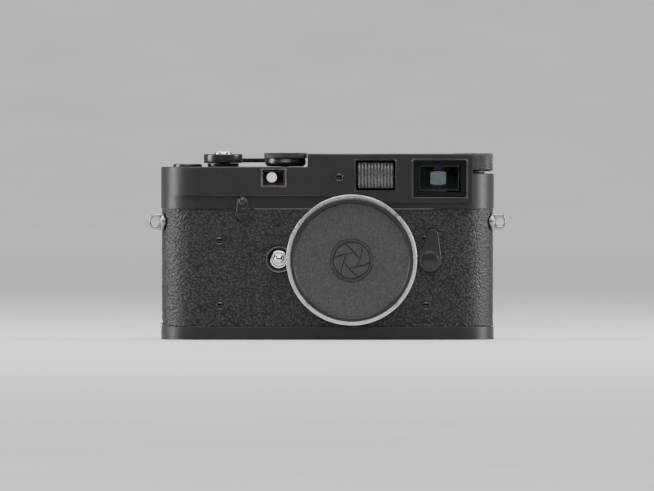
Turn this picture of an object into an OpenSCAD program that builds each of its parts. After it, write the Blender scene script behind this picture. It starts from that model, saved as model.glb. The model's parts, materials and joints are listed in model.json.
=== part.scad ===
// 35 mm rangefinder camera, closed up with a body cap on its lens mount.
// Front of the camera faces -Y, up is +Z, millimetres. Depths inside modules are
// measured from the body's middle plane, which lies at y = mid_y.

/* [Body] */
// Width of the body over its rounded ends
body_w = 138; // [136:0.5:142]
// Thickness of the body
body_t = 31; // [31:0.25:32]
// Height of the base plate
base_h = 5.4; // [5.2:0.1:5.6]
// Height at which the covering ends and the top cover starts
cover_z = 54.2; // [54:0.1:54.4]
// Thickness of the bonded covering
skin_t = 0.7; // [0.5:0.1:0.8]
// Wall of the body shell
shell_t = 1.5; // [1.4:0.1:1.6]

/* [Top cover] */
// Height of the low deck, over the advance lever
low_deck_z = 71.6; // [71.4:0.1:71.8]
// Height of the high deck, over the finder
high_deck_z = 77; // [76.9:0.1:77.2]
// Height of the platform under the rewind knob
platform_z = 68.8; // [68.6:0.1:69]
// Side position of the step between the low and the high deck
step_x = -8.3; // [-8.5:0.1:-8]
// Side position of the right end of the high deck
high_end_x = 60.1; // [60:0.1:60.3]
// How far the window band stands proud of the front
band_proud = 1.5; // [1.3:0.1:1.6]
// Bevel along the cover's top edges
edge = 0.5; // [0.3:0.1:0.6]

/* [Lens mount] */
// Side position of the lens axis
lens_x = 10; // [9.8:0.1:10.2]
// Height of the lens axis
lens_z = 33; // [32.9:0.1:33.1]
// Outer radius of the mount ring
ring_r = 27; // [26.8:0.1:27.2]
// Inner radius of the bayonet lobes
throat_r = 22.1; // [22:0.05:22.2]
// Distance from the mount ring's face to the film
flange_to_film = 27.8; // [27.7:0.05:27.9]
// Outer radius of the body cap
cap_r = 25.7; // [25.5:0.1:25.8]

/* [Film] */
// Width of the picture
frame_w = 36; // [35:0.5:36.5]
// Height of the picture
frame_h = 24; // [23:0.5:24.5]

/* [Hidden] */
$fn = 64;
// Small step that keeps two faces from lying in one plane
eps = 0.05;
// How far a cutting shape passes the surface that it cuts
over = 1;
// Radial clearance of a shaft in its bore
fit = 0.05;
// Gap between bodies that pass each other
gap = 0.3;

// Depths, from the middle plane
cap_front = -22;
lever_back = 18.6;
mid_y = -(cap_front + lever_back) / 2;
face = -body_t / 2;
back = body_t / 2;
band_face = face - band_proud;
shell_face = face + skin_t;
shell_in = shell_face + shell_t;
mount_face = -18;
film_y = mount_face + flange_to_film;

// Shell, and the walls of the hollow top cover
end_r = body_t / 2;
end_x = body_w / 2 - end_r;
shell_w = body_w - 2 * skin_t;
shell_d = body_t - 2 * skin_t;
inner_w = shell_w - 2 * shell_t;
inner_d = shell_d - 2 * shell_t;
shell_z0 = base_h + 0.2;
shell_z1 = cover_z - 0.1;
cover_wall = 1.2;
band_low_left = 59.7;
band_low_right = 56.8;

// Chassis: deck plate on top, light box round the picture, seat for the mount
deck_z0 = 52.4;
deck_z1 = 54;
box_x0 = -27.5;
box_x1 = 41;
box_wall = 1.5;
box_z0 = 7;
gate_t = 1.8;
gate_y = film_y - 0.2;
front_wall_x = [-48, 44.5];
seat_r = 26.2;
seat_in = 23.6;
light_throat_r = 22.6;
rail_z = [15, 18.2, 46.3, 49.5];
rail_h = 1.5;

// Shutter, and the drums at the ends of its curtain
crate_y0 = 1.6;
crate_z = [10, 51];
crate_wall = 1;
crate_face_wall = 0.8;
curtain_x = [-19, 34];
curtain_y = 3.7;
curtain_t = 0.3;
curtain_z = [18, 48];
drum_y = 4.2;
drum_z = [11.2, 49.8];
drums = [[-22.2, 1.6], [36.6, 1.4]];

// Mount ring, its screws and its bayonet
screw_circle_r = 25.2;
screw_angles = [45:90:315];
ring_bore_r = 23.5;
lobe_angles = [22.5:90:292.5];
lobe_sweep = 45;
lobe_t = 1.4;
lobe_root_r = 23.7;
mount_head_r = 1.2;
mount_head_h = 0.85;
mount_shank_r = 0.55;
guard_r = 5.4;
guard_in_r = 4.2;
release_r = 3.7;
release_dome_r = 1.9;
release_shaft_r = 1.8;
release_z0 = mount_face + 1.15;

// Body cap
cap_recess_r = 23.7;
cap_recess = 1;
cap_front_wall = 2.5;
cap_tab_r = 23.2;
cap_tab_y = [mount_face + 1.7, mount_face + 2.9];
cap_tab_angles = [71:90:341];
cap_tab_sweep = 38;
cap_sleeve_wall = 1.6;

// Shafts of the film transport: advance, take-up, sprocket
gear_module = 0.5;
advance_teeth = 27;
takeup_teeth = 14;
sprocket_teeth = 12;
takeup_x = -end_x;
takeup_reach = gear_module * (advance_teeth + takeup_teeth) / 2;
sprocket_reach = gear_module * (advance_teeth + sprocket_teeth) / 2;
advance_x = takeup_x + takeup_reach;
sprocket_y = 3.75;
sprocket_x = advance_x + sqrt(sprocket_reach * sprocket_reach - sprocket_y * sprocket_y);
gear_z0 = 56.2;
gear_z1 = 58.2;
gear_plate_z = [59.4, 60.4];
gear_plate_x = [-62, -30];
gear_plate_y = [-9, 8.5];
gear_plate_feet = [[-61, -8], [-31.2, -8], [-61, 7.5]];
shaft_top = 61;
advance_shaft_r = 3;
takeup_shaft_r = 2;
sprocket_shaft_r = 1.5;
release_rod_r = 1.5;

// Take-up spool and sprocket
spool_z = [11.5, 13, 50];
spool_r = 6.5;
spool_flange_r = 9;
sprocket_z = [14, 51];
sprocket_r = 4.4;
wheel_r = 5.8;
wheel_h = 2;
wheel_z = [16.3, 47.7];
wheel_teeth = 8;
wheel_tooth = [1.3, 1, 1.6];

// Rewind: the knob's shaft stands outboard of the cassette's axis, a gear pair apart
knob_x = 60.2;
knob_r = 8.5;
knob_z0 = 69.6;
knob_z1 = 77.2;
knob_bore_z = 75.7;
knob_shaft_r = 2.5;
pocket_r = 9.3;
rewind_collar_r = 5;
rewind_teeth = 12;
rewind_module = (knob_x - end_x) / rewind_teeth;
rewind_gear_z0 = 56.2;
rewind_gear_z1 = 58;
fork_r = 2;
fork_disc_r = 3.2;
fork_disc_z = [47.6, 49];
fork_prong_x = [1, 2.4];
fork_prong_t = 1.2;
fork_prong_z = 43;

// Controls on the top cover
dial_x = -17.4;
dial_y = -1.5;
dial_r = 8.9;
dial_foot_r = 7.6;
dial_skirt_r = 8.6;
dial_neck_r = 8.2;
dial_z = [low_deck_z + 0.1, low_deck_z + 1.2, 75.2, 77.4];
dial_shaft_r = 1.5;
counter_x = -58;
counter_y = -1;
counter_ring_r = 6;
counter_glass_r = 4.2;
counter_disc_x = -56;
counter_disc_y = 3;
counter_disc_r = 6.6;
counter_disc_z = [69.2, 69.9];
counter_shaft_r = 0.8;
hub_r = 8.1;
collar_r = 6.5;
lever_z0 = 73.1;
hub_z1 = 76.9;
arm_z = [73.3, 75.1];
arm_knee = [-27, 11.5];
arm_knee_r = 2.8;
arm_tip_r = 2.6;
arm_tip = [-14.5, lever_back - arm_tip_r];
button_r = 3.75;
button_z = [75.4, 78.2];
button_dome = 0.7;
cable_r = 1.4;
cable_depth = 2.6;

// Accessory shoe: side walls with inward lips over a floor
shoe_floor_z = 73;
shoe_w = 21.6;
shoe_y0 = -9.5;
shoe_slot_w = 18.7;
shoe_mouth_w = 12.6;
shoe_foot_h = 2.05;
shoe_floor_t = 0.7;
shoe_stop_t = 1.2;
shoe_screw_x = [lens_x - 5, lens_x + 5];
shoe_screw_y = 4;
shoe_head_r = 1.4;
shoe_shank_r = 0.65;
contact_r = 1.6;

// Windows in the band: side position, height, width, height of the opening in the cover
viewfinder = [46.4, 66.6, 23.1, 16.4];
lightwindow = [19.85, 68, 17.3, 13.35];
rangewindow = [-22.25, 67, 10.5, 7.6];
bezel_back = face + 1.9;
bezel_slack = 0.02;
finder_pane_x = [viewfinder[0] - 8.6, viewfinder[0] + 8];
finder_pane_z = [viewfinder[1] - 4.9, viewfinder[1] + 5.5];

// Finder block behind the windows
block_floor_z = 60;
block_floor_t = 1.2;
block_x = [-27, 48];
block_y = [-11, 9];
tunnel_x = [34.5, 49.4];
tunnel_z1 = 74.6;
tunnel_y1 = 12.5;
tunnel_wall = 1.4;
tunnel_skin = 1.2;
tunnel_back_t = 2.5;
tunnel_bore = [44.2, 4];
hood_x = [-27.4, -19.4];
hood_y1 = -5;
hood_z1 = 70;
hood_wall = 1;
prism_x = [36.6, 47.6];
prism_y = [-6, 4];
prism_z = [62.6, 71];
range_prism_at = [-26.2, -10.6, 62.4];
range_prism_h = 6.4;

// Eyepiece on the back, and the flash lead's socket
eyepiece_r = 4.6;
eyepiece_ring_r = 6;
eyepiece_depth = 2.2;
eyepiece_thread_r = 3.8;
eyepiece_lens_r = 3.4;
eyepiece_lens_t = 1.2;
flash_at = [lens_x, 61];
flash_bore_r = 1.7;
flash_r = 2.55;
flash_rim_r = 3.6;
flash_rim_t = 0.9;
flash_depth = [3, 4];

// Controls on the front: side position and height
release_at = [-20.1, 33.3];
selector_at = [42.3, 32.9];
selector_tip = [43.3, 43.4];
selector_r = 4.8;
selector_arm_r = 2.45;
selector_shoulder = [4.1, 2.4];
selector_disc_r = 3.4;
selector_shaft_r = 1.5;
reverse_at = [-35.2, 52.5];
reverse_tip = [-35.05, 57.2];
reverse_r = 2.7;
reverse_head_r = 2.15;
reverse_dome_r = 1.7;
reverse_shaft_r = 1.2;
lever_t = 1.3;
front_screw_at = [[-44.7, 40.8], [-44.5, 14], [40.8, 14], [40.5, 41.5]];
front_head_r = 1.7;
front_shank_r = 0.95;
front_shank_l = 3.2;
band_screw_at = [4.9, 67.1];
band_head_r = 1.75;
band_head_h = 0.7;
band_shank_r = 0.8;
band_shank_l = 3;
screw_slot_w = 0.5;
screw_slot_d = 0.4;

// Rangefinder arm, behind the top of the mount
arm_pivot = [-16, -7];
arm_pivot_r = 0.9;
arm_boss_r = 1.8;
arm_levels = [49.2, 50.1, 51.6, 53.2];
arm_w = 1.4;
roller_y = -10;
roller_r = 2.4;
roller_z = [50.2, 51.5];
roller_pin_r = 0.6;

// Strap lugs, tilted to stand square on the rounded ends
lug_y = -4.5;
lug_z = 48.8;
lug_tilt = 17;
lug_eye_x = 71.5;
lug_eye_r = 1.7;
lug_tip_r = 2.4;
lug_t = 2.2;
lug_pad_r = 3.6;
lug_pad_t = 1.5;
lug_stem_r = 2;
lug_stem_x = [64.8, 69.6];
lug_root = [3.2, 3.4];

// Base plate, with its catch at one end and its key at the other
base_wall = 1.5;
base_floor = 1.2;
catch_z = 6.5;
catch_r = 1.9;
catch_stem_z = 6.9;
catch_stem_r = 0.9;
catch_stem_l = 3.4;
catch_lip_x = -68.5;
catch_lip_z = 4.2;
catch_lip_r = 0.3;
key_x = end_x;
key_r = 9.3;
key_cup_r = 9.7;
key_cup_z = 1.5;
key_boss_r = 11;
key_boss_z = 2.6;
key_shaft_r = 3;
key_arm = [12.2, 3.6];
key_arm_z = [3.1, 4.3];
key_well_r = [6, 8.7];
key_face_z = 0.15;
key_well_z = 1.2;
key_ear = [7.35, 1.4];
key_ring_r = [6.25, 8.5];
key_ring_z = [0.25, 1.05];
key_pin_r = 0.4;
hook_r = 12.6;
hook_wall = 0.65;
hook_lip = 1.2;
hook_z = 2.1;
hook_sweep = 40;
tripod_x = -end_x;
tripod_thread_r = 2.6;
tripod_thread_l = 4.5;
tripod_r = 5;
tripod_boss_r = 6.6;
tripod_boss_z = 4.4;

// Rear door, hinged along its top edge
door_x0 = -38;
door_x1 = 44;
door_t = 1.8;
door_z1 = 50.4;
door_hinge_y = 14.2;
door_hinge_z = 52.2;
door_hinge_r = 1.3;
door_pin_r = 0.48;
knuckle_l = 2;
plate_x = [-14, 34];
plate_z = [15, 50.2];
plate_t = 1;
spring_x = [-3, 23];
spring_z = [24, 41];
speed_dial_z = lens_z - 2;
speed_dial_r = 12;
speed_dial_t = 1.2;
speed_shaft_r = 2;

// Involute gears
pressure = 20;
backlash = 0.12;
addendum = 0.8;
dedendum = 1.15;

// ---- shapes used throughout ----

module slab(x0, x1, y0, y1, z0, z1) {
    translate([x0, mid_y + y0, z0]) cube([x1 - x0, y1 - y0, z1 - z0]);
}

// A slab centred on a side position, w wide
module bar(x, w, y0, y1, z0, z1) {
    slab(x - w / 2, x + w / 2, y0, y1, z0, z1);
}

module post(x, y, z0, z1, r) {
    translate([x, mid_y + y, z0]) cylinder(h = z1 - z0, r = r);
}

module taper(x, y, z0, z1, r0, r1) {
    translate([x, mid_y + y, z0]) cylinder(h = z1 - z0, r1 = r0, r2 = r1);
}

module rod_y(x, z, y0, y1, r) {
    translate([x, mid_y + y1, z]) rotate([90, 0, 0]) cylinder(h = y1 - y0, r = r);
}

module rod_x(y, z, x0, x1, r) {
    translate([x0, mid_y + y, z]) rotate([0, 90, 0]) cylinder(h = x1 - x0, r = r);
}

// An outline drawn in side position and height, from depth y0 to y1
module profile_y(x, z, y0, y1, outline) {
    translate([x, mid_y + y1, z]) rotate([90, 0, 0]) linear_extrude(y1 - y0) polygon(outline);
}

// A flat bar with round ends, as seen from above
module stadium(w, d, z0, z1) {
    x = (w - d) / 2;
    slab(-x, x, -d / 2, d / 2, z0, z1);
    post(-x, 0, z0, z1, d / 2);
    post(x, 0, z0, z1, d / 2);
}

// The same with its top edge bevelled
module bevelled_stadium(w, d, z0, z1, bevel) {
    x = (w - d) / 2;
    stadium(w, d, z0, z1 - bevel);
    for (side = [-1, 1]) taper(side * x, 0, z1 - bevel, z1, d / 2, d / 2 - bevel);
    translate([-x, mid_y, z1 - bevel]) rotate([90, 0, 90]) linear_extrude(2 * x)
        polygon([[-d / 2, 0], [d / 2, 0], [d / 2 - bevel, bevel], [bevel - d / 2, bevel]]);
}

// A box in the front wall, centred on a window
module window_box(win, inset, y0, y1) {
    w = win[2] / 2 - inset;
    h = win[3] / 2 - inset;
    slab(win[0] - w, win[0] + w, y0, y1, win[1] - h, win[1] + h);
}

// Turns what it is given about the lens axis
module about_lens(a) {
    translate([lens_x, mid_y, lens_z]) rotate([0, a, 0]) translate([-lens_x, -mid_y, -lens_z]) children();
}

// A sector of a ring around the lens axis, r0 to r1, y0 to y1, from angle a
module mount_sector(r0, r1, y0, y1, a, sweep) {
    translate([lens_x, mid_y + y1, lens_z]) rotate([90, 0, 0]) rotate([0, 0, a])
        rotate_extrude(angle = sweep) translate([r0, 0]) square([r1 - r0, y1 - y0]);
}

// A slotted screw from the front: head face at y0
module screw_y(x, z, y0, head_r, head_h, shank_r, shank_l) {
    difference() {
        rod_y(x, z, y0, y0 + head_h, head_r);
        slab(x - head_r - over, x + head_r + over, y0 - over, y0 + screw_slot_d,
            z - screw_slot_w / 2, z + screw_slot_w / 2);
    }
    rod_y(x, z, y0 + head_h, y0 + head_h + shank_l, shank_r);
}

// Room for the rear door in what stands behind the body
module door_room(y0, z0, z1) {
    slab(door_x0 - gap, door_x1 + gap, y0, back + over, z0, z1);
}

// ---- involute gears ----

function involute(a) = tan(a) * 180 / PI - a;
function flank(r, base, half) = half + involute(pressure) - (r <= base ? 0 : involute(acos(base / r)));
function tooth(n, m, k) =
    let (
        pitch = n * m / 2,
        base = pitch * cos(pressure),
        tip = pitch + addendum * m,
        root = pitch - dedendum * m,
        half = 90 / n - backlash * 90 / (PI * pitch),
        start = max(base, root),
        steps = 4,
        radii = [for (i = [0:steps]) start + (tip - start) * i / steps],
        rise = [for (r = radii) [r, -flank(r, base, half)]],
        fall = [for (i = [steps:-1:0]) [radii[i], flank(radii[i], base, half)]],
        foot = flank(start, base, half),
        outline = concat([[root, -foot]], rise, fall, [[root, foot]])
    )
    [for (p = outline) [p[0] * cos(k * 360 / n + p[1]), p[0] * sin(k * 360 / n + p[1])]];

module gear(x, y, z0, z1, n, m, turn) {
    translate([x, mid_y + y, z0]) rotate([0, 0, turn]) linear_extrude(z1 - z0)
        polygon([for (k = [0:n - 1]) for (p = tooth(n, m, k)) p]);
}

// Turn that puts a second gear in mesh: line of centres, a tooth of the first gear, both counts
function mesh_turn(line, tooth_at, n1, n2) = line + 180 + 180 / n2 - (tooth_at - line) * n1 / n2;

// ---- body ----

module body_shell() {
    inner_end = end_x + inner_d / 2 - over;
    color([0.16, 0.15, 0.15]) difference() {
        stadium(shell_w, shell_d, shell_z0, shell_z1);
        stadium(inner_w, inner_d, shell_z0 - over, shell_z1 + over);
        door_room(inner_d / 2 - shell_t, shell_z0 - over, shell_z1 + over);
        rod_y(lens_x, lens_z, face - over, shell_in + over, seat_r + eps);
        rod_y(release_at[0], release_at[1], face - over, shell_in + over, release_r + 2 * fit);
        rod_y(selector_at[0], selector_at[1], face - over, shell_in + over, selector_shaft_r + fit);
        rod_y(reverse_at[0], reverse_at[1], face - over, shell_in + over, reverse_shaft_r + fit);
        for (s = front_screw_at) rod_y(s[0], s[1], face - over, shell_in + over, front_shank_r + fit);
        rod_x(lug_y, lug_z, -body_w, -end_x - lug_stem_r, lug_stem_r + eps);
        rod_x(lug_y, lug_z, end_x + lug_stem_r, body_w, lug_stem_r + eps);
        rod_x(0, catch_stem_z, -body_w, -inner_end, catch_stem_r + eps);
    }
}

module front_covering() {
    lug_hole_r = lug_pad_r + 0.2;
    screw_hole_r = front_head_r + 0.2;
    color([0.17, 0.15, 0.15]) difference() {
        stadium(body_w, body_t, shell_z0, shell_z1);
        stadium(shell_w, shell_d, shell_z0 - over, shell_z1 + over);
        door_room(inner_d / 2 - shell_t, shell_z0 - over, shell_z1 + over);
        rod_y(lens_x, lens_z, face - over, shell_in, seat_r + 0.2);
        rod_y(release_at[0], release_at[1], face - over, shell_in, guard_in_r);
        rod_y(selector_at[0], selector_at[1], face - over, shell_in, selector_shaft_r + skin_t);
        rod_y(reverse_at[0], reverse_at[1], face - over, shell_in, reverse_shaft_r + skin_t);
        for (s = front_screw_at) rod_y(s[0], s[1], face - over, shell_in, screw_hole_r);
        translate([end_x, mid_y, lug_z]) rotate([0, 90, -lug_tilt]) cylinder(h = body_t, r = lug_hole_r);
        translate([-end_x, mid_y, lug_z]) rotate([0, 90, 180 + lug_tilt]) cylinder(h = body_t, r = lug_hole_r);
        rod_x(0, catch_z, -body_w, -end_x, catch_r + gap);
    }
}

module film_chassis() {
    slack = 0.2;
    plate_d = inner_d - slack;
    seat_y = face - eps;
    front_y = -plate_d / 2;
    wall_y = front_y + box_wall;
    floor_y = -1;
    shelf_x = -40.5;
    ear_y = 11;
    color([0.33, 0.33, 0.34]) difference() {
        union() {
            difference() {
                stadium(inner_w - slack, plate_d, deck_z0, deck_z1);
                door_room(ear_y + over, deck_z0 - over, deck_z1 + over);
            }
            slab(front_wall_x[0], front_wall_x[1], front_y, wall_y, box_z0, deck_z0);
            slab(box_x0, box_x0 + box_wall, wall_y, gate_y, box_z0, deck_z0);
            slab(box_x1 - box_wall, box_x1, wall_y, gate_y, box_z0, deck_z0);
            slab(box_x0, box_x1, gate_y - gate_t, gate_y, box_z0, deck_z0);
            slab(box_x0, box_x1, front_y, gate_y, box_z0, box_z0 + box_wall);
            slab(shelf_x, box_x0, floor_y, gate_y, box_z0, box_z0 + box_wall);
            rod_y(lens_x, lens_z, seat_y, front_y, seat_r);
            for (x = [door_x0, door_x1 - knuckle_l]) {
                rod_x(door_hinge_y, door_hinge_z, x, x + knuckle_l, door_hinge_r);
                slab(x, x + knuckle_l, ear_y, door_hinge_y, deck_z0, door_hinge_z + door_hinge_r);
            }
        }
        rod_y(lens_x, lens_z, seat_y - over, front_y, seat_in);
        rod_y(lens_x, lens_z, front_y - eps, wall_y + over, light_throat_r);
        slab(lens_x - frame_w / 2, lens_x + frame_w / 2, gate_y - gate_t - over, gate_y + over,
            lens_z - frame_h / 2, lens_z + frame_h / 2);
        for (a = screw_angles) about_lens(a)
            rod_y(lens_x + screw_circle_r, lens_z, seat_y - over, front_y + over, mount_shank_r + fit);
        for (s = front_screw_at) rod_y(s[0], s[1], face, wall_y + over, front_shank_r + fit);
        rod_y(release_at[0], release_at[1], face, wall_y + over, release_shaft_r + fit);
        rod_y(release_at[0], release_at[1], face - over, front_y + 2 * slack, release_r + 2 * fit);
        rod_y(selector_at[0], selector_at[1], face, wall_y + over, selector_shaft_r + fit);
        rod_y(reverse_at[0], reverse_at[1], face, wall_y + over, reverse_shaft_r + fit);
        post(takeup_x, 0, deck_z0 - over, deck_z1 + over, takeup_shaft_r + fit);
        post(advance_x, 0, deck_z0 - over, deck_z1 + over, advance_shaft_r + fit);
        post(sprocket_x, sprocket_y, 0, deck_z1 + over, sprocket_shaft_r + fit);
        post(arm_pivot[0], arm_pivot[1], deck_z0 - over, deck_z1 + over, arm_pivot_r + fit);
        post(end_x, 0, deck_z0 - over, deck_z1 + over, fork_r + fit);
        rod_x(door_hinge_y, door_hinge_z, door_x0 - over, door_x1 + over, door_pin_r + bezel_slack);
    }
}

module film_rails() {
    color([0.75, 0.75, 0.76]) for (z = rail_z) slab(box_x0 + 1, box_x1 - 1, gate_y, film_y, z, z + rail_h);
}

module shutter_crate() {
    x0 = box_x0 + box_wall + 0.2;
    x1 = box_x1 - box_wall - 0.2;
    y1 = gate_y - gate_t - 0.1;
    margin = 1;
    color([0.2, 0.2, 0.21]) difference() {
        slab(x0, x1, crate_y0, y1, crate_z[0], crate_z[1]);
        slab(x0 + crate_wall, x1 - crate_wall, crate_y0 + crate_face_wall, y1 - crate_face_wall,
            crate_z[0] + crate_wall, crate_z[1] - crate_wall);
        slab(lens_x - frame_w / 2 - margin, lens_x + frame_w / 2 + margin, crate_y0 - over, y1 + over,
            lens_z - frame_h / 2 - margin, lens_z + frame_h / 2 + margin);
    }
}

module shutter_curtain() {
    color([0.1, 0.1, 0.1])
        slab(curtain_x[0], curtain_x[1], curtain_y, curtain_y + curtain_t, curtain_z[0], curtain_z[1]);
}

module curtain_drums() {
    color([0.6, 0.58, 0.5]) for (d = drums) post(d[0], drum_y, drum_z[0], drum_z[1], d[1]);
}

// ---- lens mount ----

module lens_mount_ring() {
    notch_r = guard_r + 0.2;
    sink_r = mount_head_r + eps;
    color([0.78, 0.78, 0.78]) difference() {
        union() {
            difference() {
                rod_y(lens_x, lens_z, mount_face, face - eps, ring_r);
                rod_y(lens_x, lens_z, mount_face - over, face + over, ring_bore_r);
            }
            for (a = lobe_angles)
                mount_sector(throat_r, lobe_root_r, mount_face, mount_face + lobe_t, a, lobe_sweep);
        }
        rod_y(release_at[0], release_at[1], mount_face + over, face, notch_r);
        for (a = screw_angles) about_lens(a) {
            rod_y(lens_x + screw_circle_r, lens_z, mount_face - over, mount_face + mount_head_h + eps, sink_r);
            rod_y(lens_x + screw_circle_r, lens_z, mount_face, face + over, mount_shank_r + 2 * fit);
        }
    }
}

module mount_screws() {
    shank_l = 2.4;
    color([0.7, 0.7, 0.7]) for (a = screw_angles) about_lens(a)
        screw_y(lens_x + screw_circle_r, lens_z, mount_face + eps, mount_head_r, mount_head_h,
            mount_shank_r, shank_l);
}

module lens_release_guard() {
    color([0.1, 0.1, 0.1]) difference() {
        rod_y(release_at[0], release_at[1], release_z0 - eps, face - eps, guard_r);
        rod_y(release_at[0], release_at[1], mount_face, face + over, guard_in_r);
    }
}

module lens_release_button() {
    x = release_at[0];
    z = release_at[1];
    disc_back = face - 0.6;
    color([0.8, 0.8, 0.8]) {
        rod_y(x, z, mount_face - 0.4, release_z0 + eps, release_dome_r);
        rod_y(x, z, release_z0, disc_back, release_r);
        rod_y(x, z, disc_back, shell_in + 1.5, release_shaft_r);
    }
}

// ---- top cover ----

module deck(x0, x1, z1) {
    intersection() {
        bevelled_stadium(body_w, body_t, cover_z, z1, edge);
        slab(x0, x1, -body_t, body_t, cover_z, z1 + over);
    }
}

// A stretch of the window band, with its upper front edge bevelled
module band(x0, x1, z0, z1) {
    root = face + 2;
    translate([x0, mid_y, 0]) rotate([90, 0, 90]) linear_extrude(x1 - x0)
        polygon([[root, z0], [root, z1], [band_face + edge, z1], [band_face, z1 - edge], [band_face, z0]]);
}

// The band's left end, an arc that runs out on the body's rounded end
module band_end(z0, z1) {
    x = band_proud - end_x;
    r = end_r + band_proud;
    intersection() {
        union() {
            post(x, 0, z0, z1 - edge, r);
            taper(x, 0, z1 - edge, z1, r, r - edge);
        }
        slab(-body_w, x, -body_t, 0, z0, z1);
    }
}

module cover_cavity() {
    w = body_w - 2 * cover_wall;
    d = body_t - 2 * cover_wall;
    low = cover_z - over;
    stadium(w, d, low, platform_z - cover_wall);
    intersection() {
        stadium(w, d, low, low_deck_z - cover_wall);
        slab(-body_w, step_x + cover_wall, -body_t, body_t, low, high_deck_z);
    }
    difference() {
        intersection() {
            stadium(w, d, low, high_deck_z - cover_wall);
            slab(step_x + cover_wall, high_end_x - cover_wall, -body_t, body_t, low, high_deck_z);
        }
        post(knob_x, 0, platform_z - cover_wall, high_deck_z, pocket_r + cover_wall);
        slab(lens_x - shoe_w / 2 - cover_wall, lens_x + shoe_w / 2 + cover_wall, shoe_y0 - cover_wall,
            body_t, shoe_floor_z - cover_wall, high_deck_z);
    }
}

module top_cover() {
    lap = 1;
    front_in = face + 4;
    back_in = 10;
    sink = 2;
    color([0.18, 0.165, 0.165]) difference() {
        union() {
            deck(-body_w / 2, step_x + lap, low_deck_z);
            difference() {
                deck(step_x, high_end_x, high_deck_z);
                post(knob_x, 0, platform_z, high_deck_z + over, pocket_r);
            }
            deck(high_end_x - lap, body_w / 2, platform_z);
            band_end(band_low_left, low_deck_z);
            band(band_proud - end_x, step_x + lap / 2, band_low_left, low_deck_z);
            band(step_x, lens_x, band_low_left, high_deck_z);
            band(lens_x, high_end_x, band_low_right, high_deck_z);
        }
        difference() {
            cover_cavity();
            slab(-end_x, high_end_x, band_face, face + cover_wall + over, cover_z, high_deck_z);
        }
        slab(lens_x - shoe_w / 2, lens_x + shoe_w / 2, shoe_y0, body_t, shoe_floor_z, high_deck_z + over);
        rod_y(lens_x, lens_z, band_face - over, face - eps, ring_r + 3 * eps);
        rod_y(lens_x, lens_z, band_face - over, front_in, seat_r + 2 * eps);
        window_box(viewfinder, 0, band_face - over, front_in);
        window_box(lightwindow, 0, band_face - over, front_in);
        window_box(rangewindow, 0, band_face - over, front_in);
        rod_y(band_screw_at[0], band_screw_at[1], band_face - over, front_in, band_shank_r + fit);
        rod_y(viewfinder[0], viewfinder[1], back_in, back + over, eyepiece_r);
        rod_y(flash_at[0], flash_at[1], back_in, back + over, flash_r + fit);
        post(advance_x, 0, cover_z, low_deck_z + over, advance_shaft_r + fit);
        post(dial_x, dial_y, cover_z, low_deck_z + over, dial_shaft_r + fit);
        post(counter_x, counter_y, low_deck_z - sink, low_deck_z + over, counter_glass_r);
        post(knob_x, 0, cover_z, platform_z + over, knob_shaft_r + fit);
        for (x = shoe_screw_x)
            post(x, shoe_screw_y, shoe_floor_z - sink, shoe_floor_z + over, shoe_shank_r + fit);
    }
}

module hub_collar() {
    color([0.12, 0.12, 0.12]) difference() {
        post(advance_x, 0, low_deck_z, lever_z0 - 0.1, collar_r);
        post(advance_x, 0, low_deck_z - over, lever_z0 + over, advance_shaft_r + fit);
    }
}

module rewind_collar() {
    color([0.12, 0.12, 0.12]) difference() {
        post(knob_x, 0, platform_z, knob_z0 - 0.1, rewind_collar_r);
        post(knob_x, 0, platform_z - over, knob_z0 + over, knob_shaft_r + fit);
    }
}

module counter_window() {
    ring_h = 1.2;
    glass_low = 0.6;
    glass_high = 0.7;
    color([0.14, 0.14, 0.14]) difference() {
        post(counter_x, counter_y, low_deck_z, low_deck_z + ring_h, counter_ring_r);
        post(counter_x, counter_y, low_deck_z - over, low_deck_z + ring_h + over, counter_glass_r);
    }
    color([0.6, 0.7, 0.7, 0.5])
        post(counter_x, counter_y, low_deck_z - glass_low, low_deck_z + glass_high, counter_glass_r);
}

// ---- finder ----

module finder_block() {
    floor_z1 = block_floor_z + block_floor_t;
    port_y = [-8, 0];
    port_z = [63.5, 70.5];
    color([0.25, 0.25, 0.26]) {
        slab(block_x[0], block_x[1], block_y[0], block_y[1], block_floor_z, floor_z1);
        difference() {
            slab(tunnel_x[0], tunnel_x[1], block_y[0], tunnel_y1, floor_z1, tunnel_z1);
            slab(tunnel_x[0] + tunnel_wall, tunnel_x[1] - tunnel_wall, block_y[0] - over,
                tunnel_y1 - tunnel_back_t, floor_z1 + tunnel_skin, tunnel_z1 - tunnel_skin);
            rod_y(tunnel_bore[0], viewfinder[1], block_y[1], tunnel_y1 + over, tunnel_bore[1]);
            slab(tunnel_x[0] - over, tunnel_x[0] + tunnel_wall + over, port_y[0], port_y[1],
                port_z[0], port_z[1]);
        }
        difference() {
            slab(hood_x[0], hood_x[1], block_y[0], hood_y1, floor_z1, hood_z1);
            slab(hood_x[0] + hood_wall, hood_x[1] + over, block_y[0] - over, hood_y1 - hood_wall,
                floor_z1 + hood_wall, hood_z1 - hood_wall);
        }
    }
}

module finder_prism() {
    color([0.7, 0.8, 0.8, 0.5]) slab(prism_x[0], prism_x[1], prism_y[0], prism_y[1], prism_z[0], prism_z[1]);
}

module range_prism() {
    long = 6;
    short = 4.4;
    color([0.7, 0.8, 0.8, 0.5])
        translate([range_prism_at[0], mid_y + range_prism_at[1], range_prism_at[2]])
        linear_extrude(range_prism_h) polygon([[0, 0], [long, 0], [long, short], [short, short]]);
}

module bezel(win, rim, front_y) {
    difference() {
        window_box(win, bezel_slack, front_y, bezel_back);
        window_box(win, rim, front_y - over, bezel_back + over);
    }
}

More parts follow.
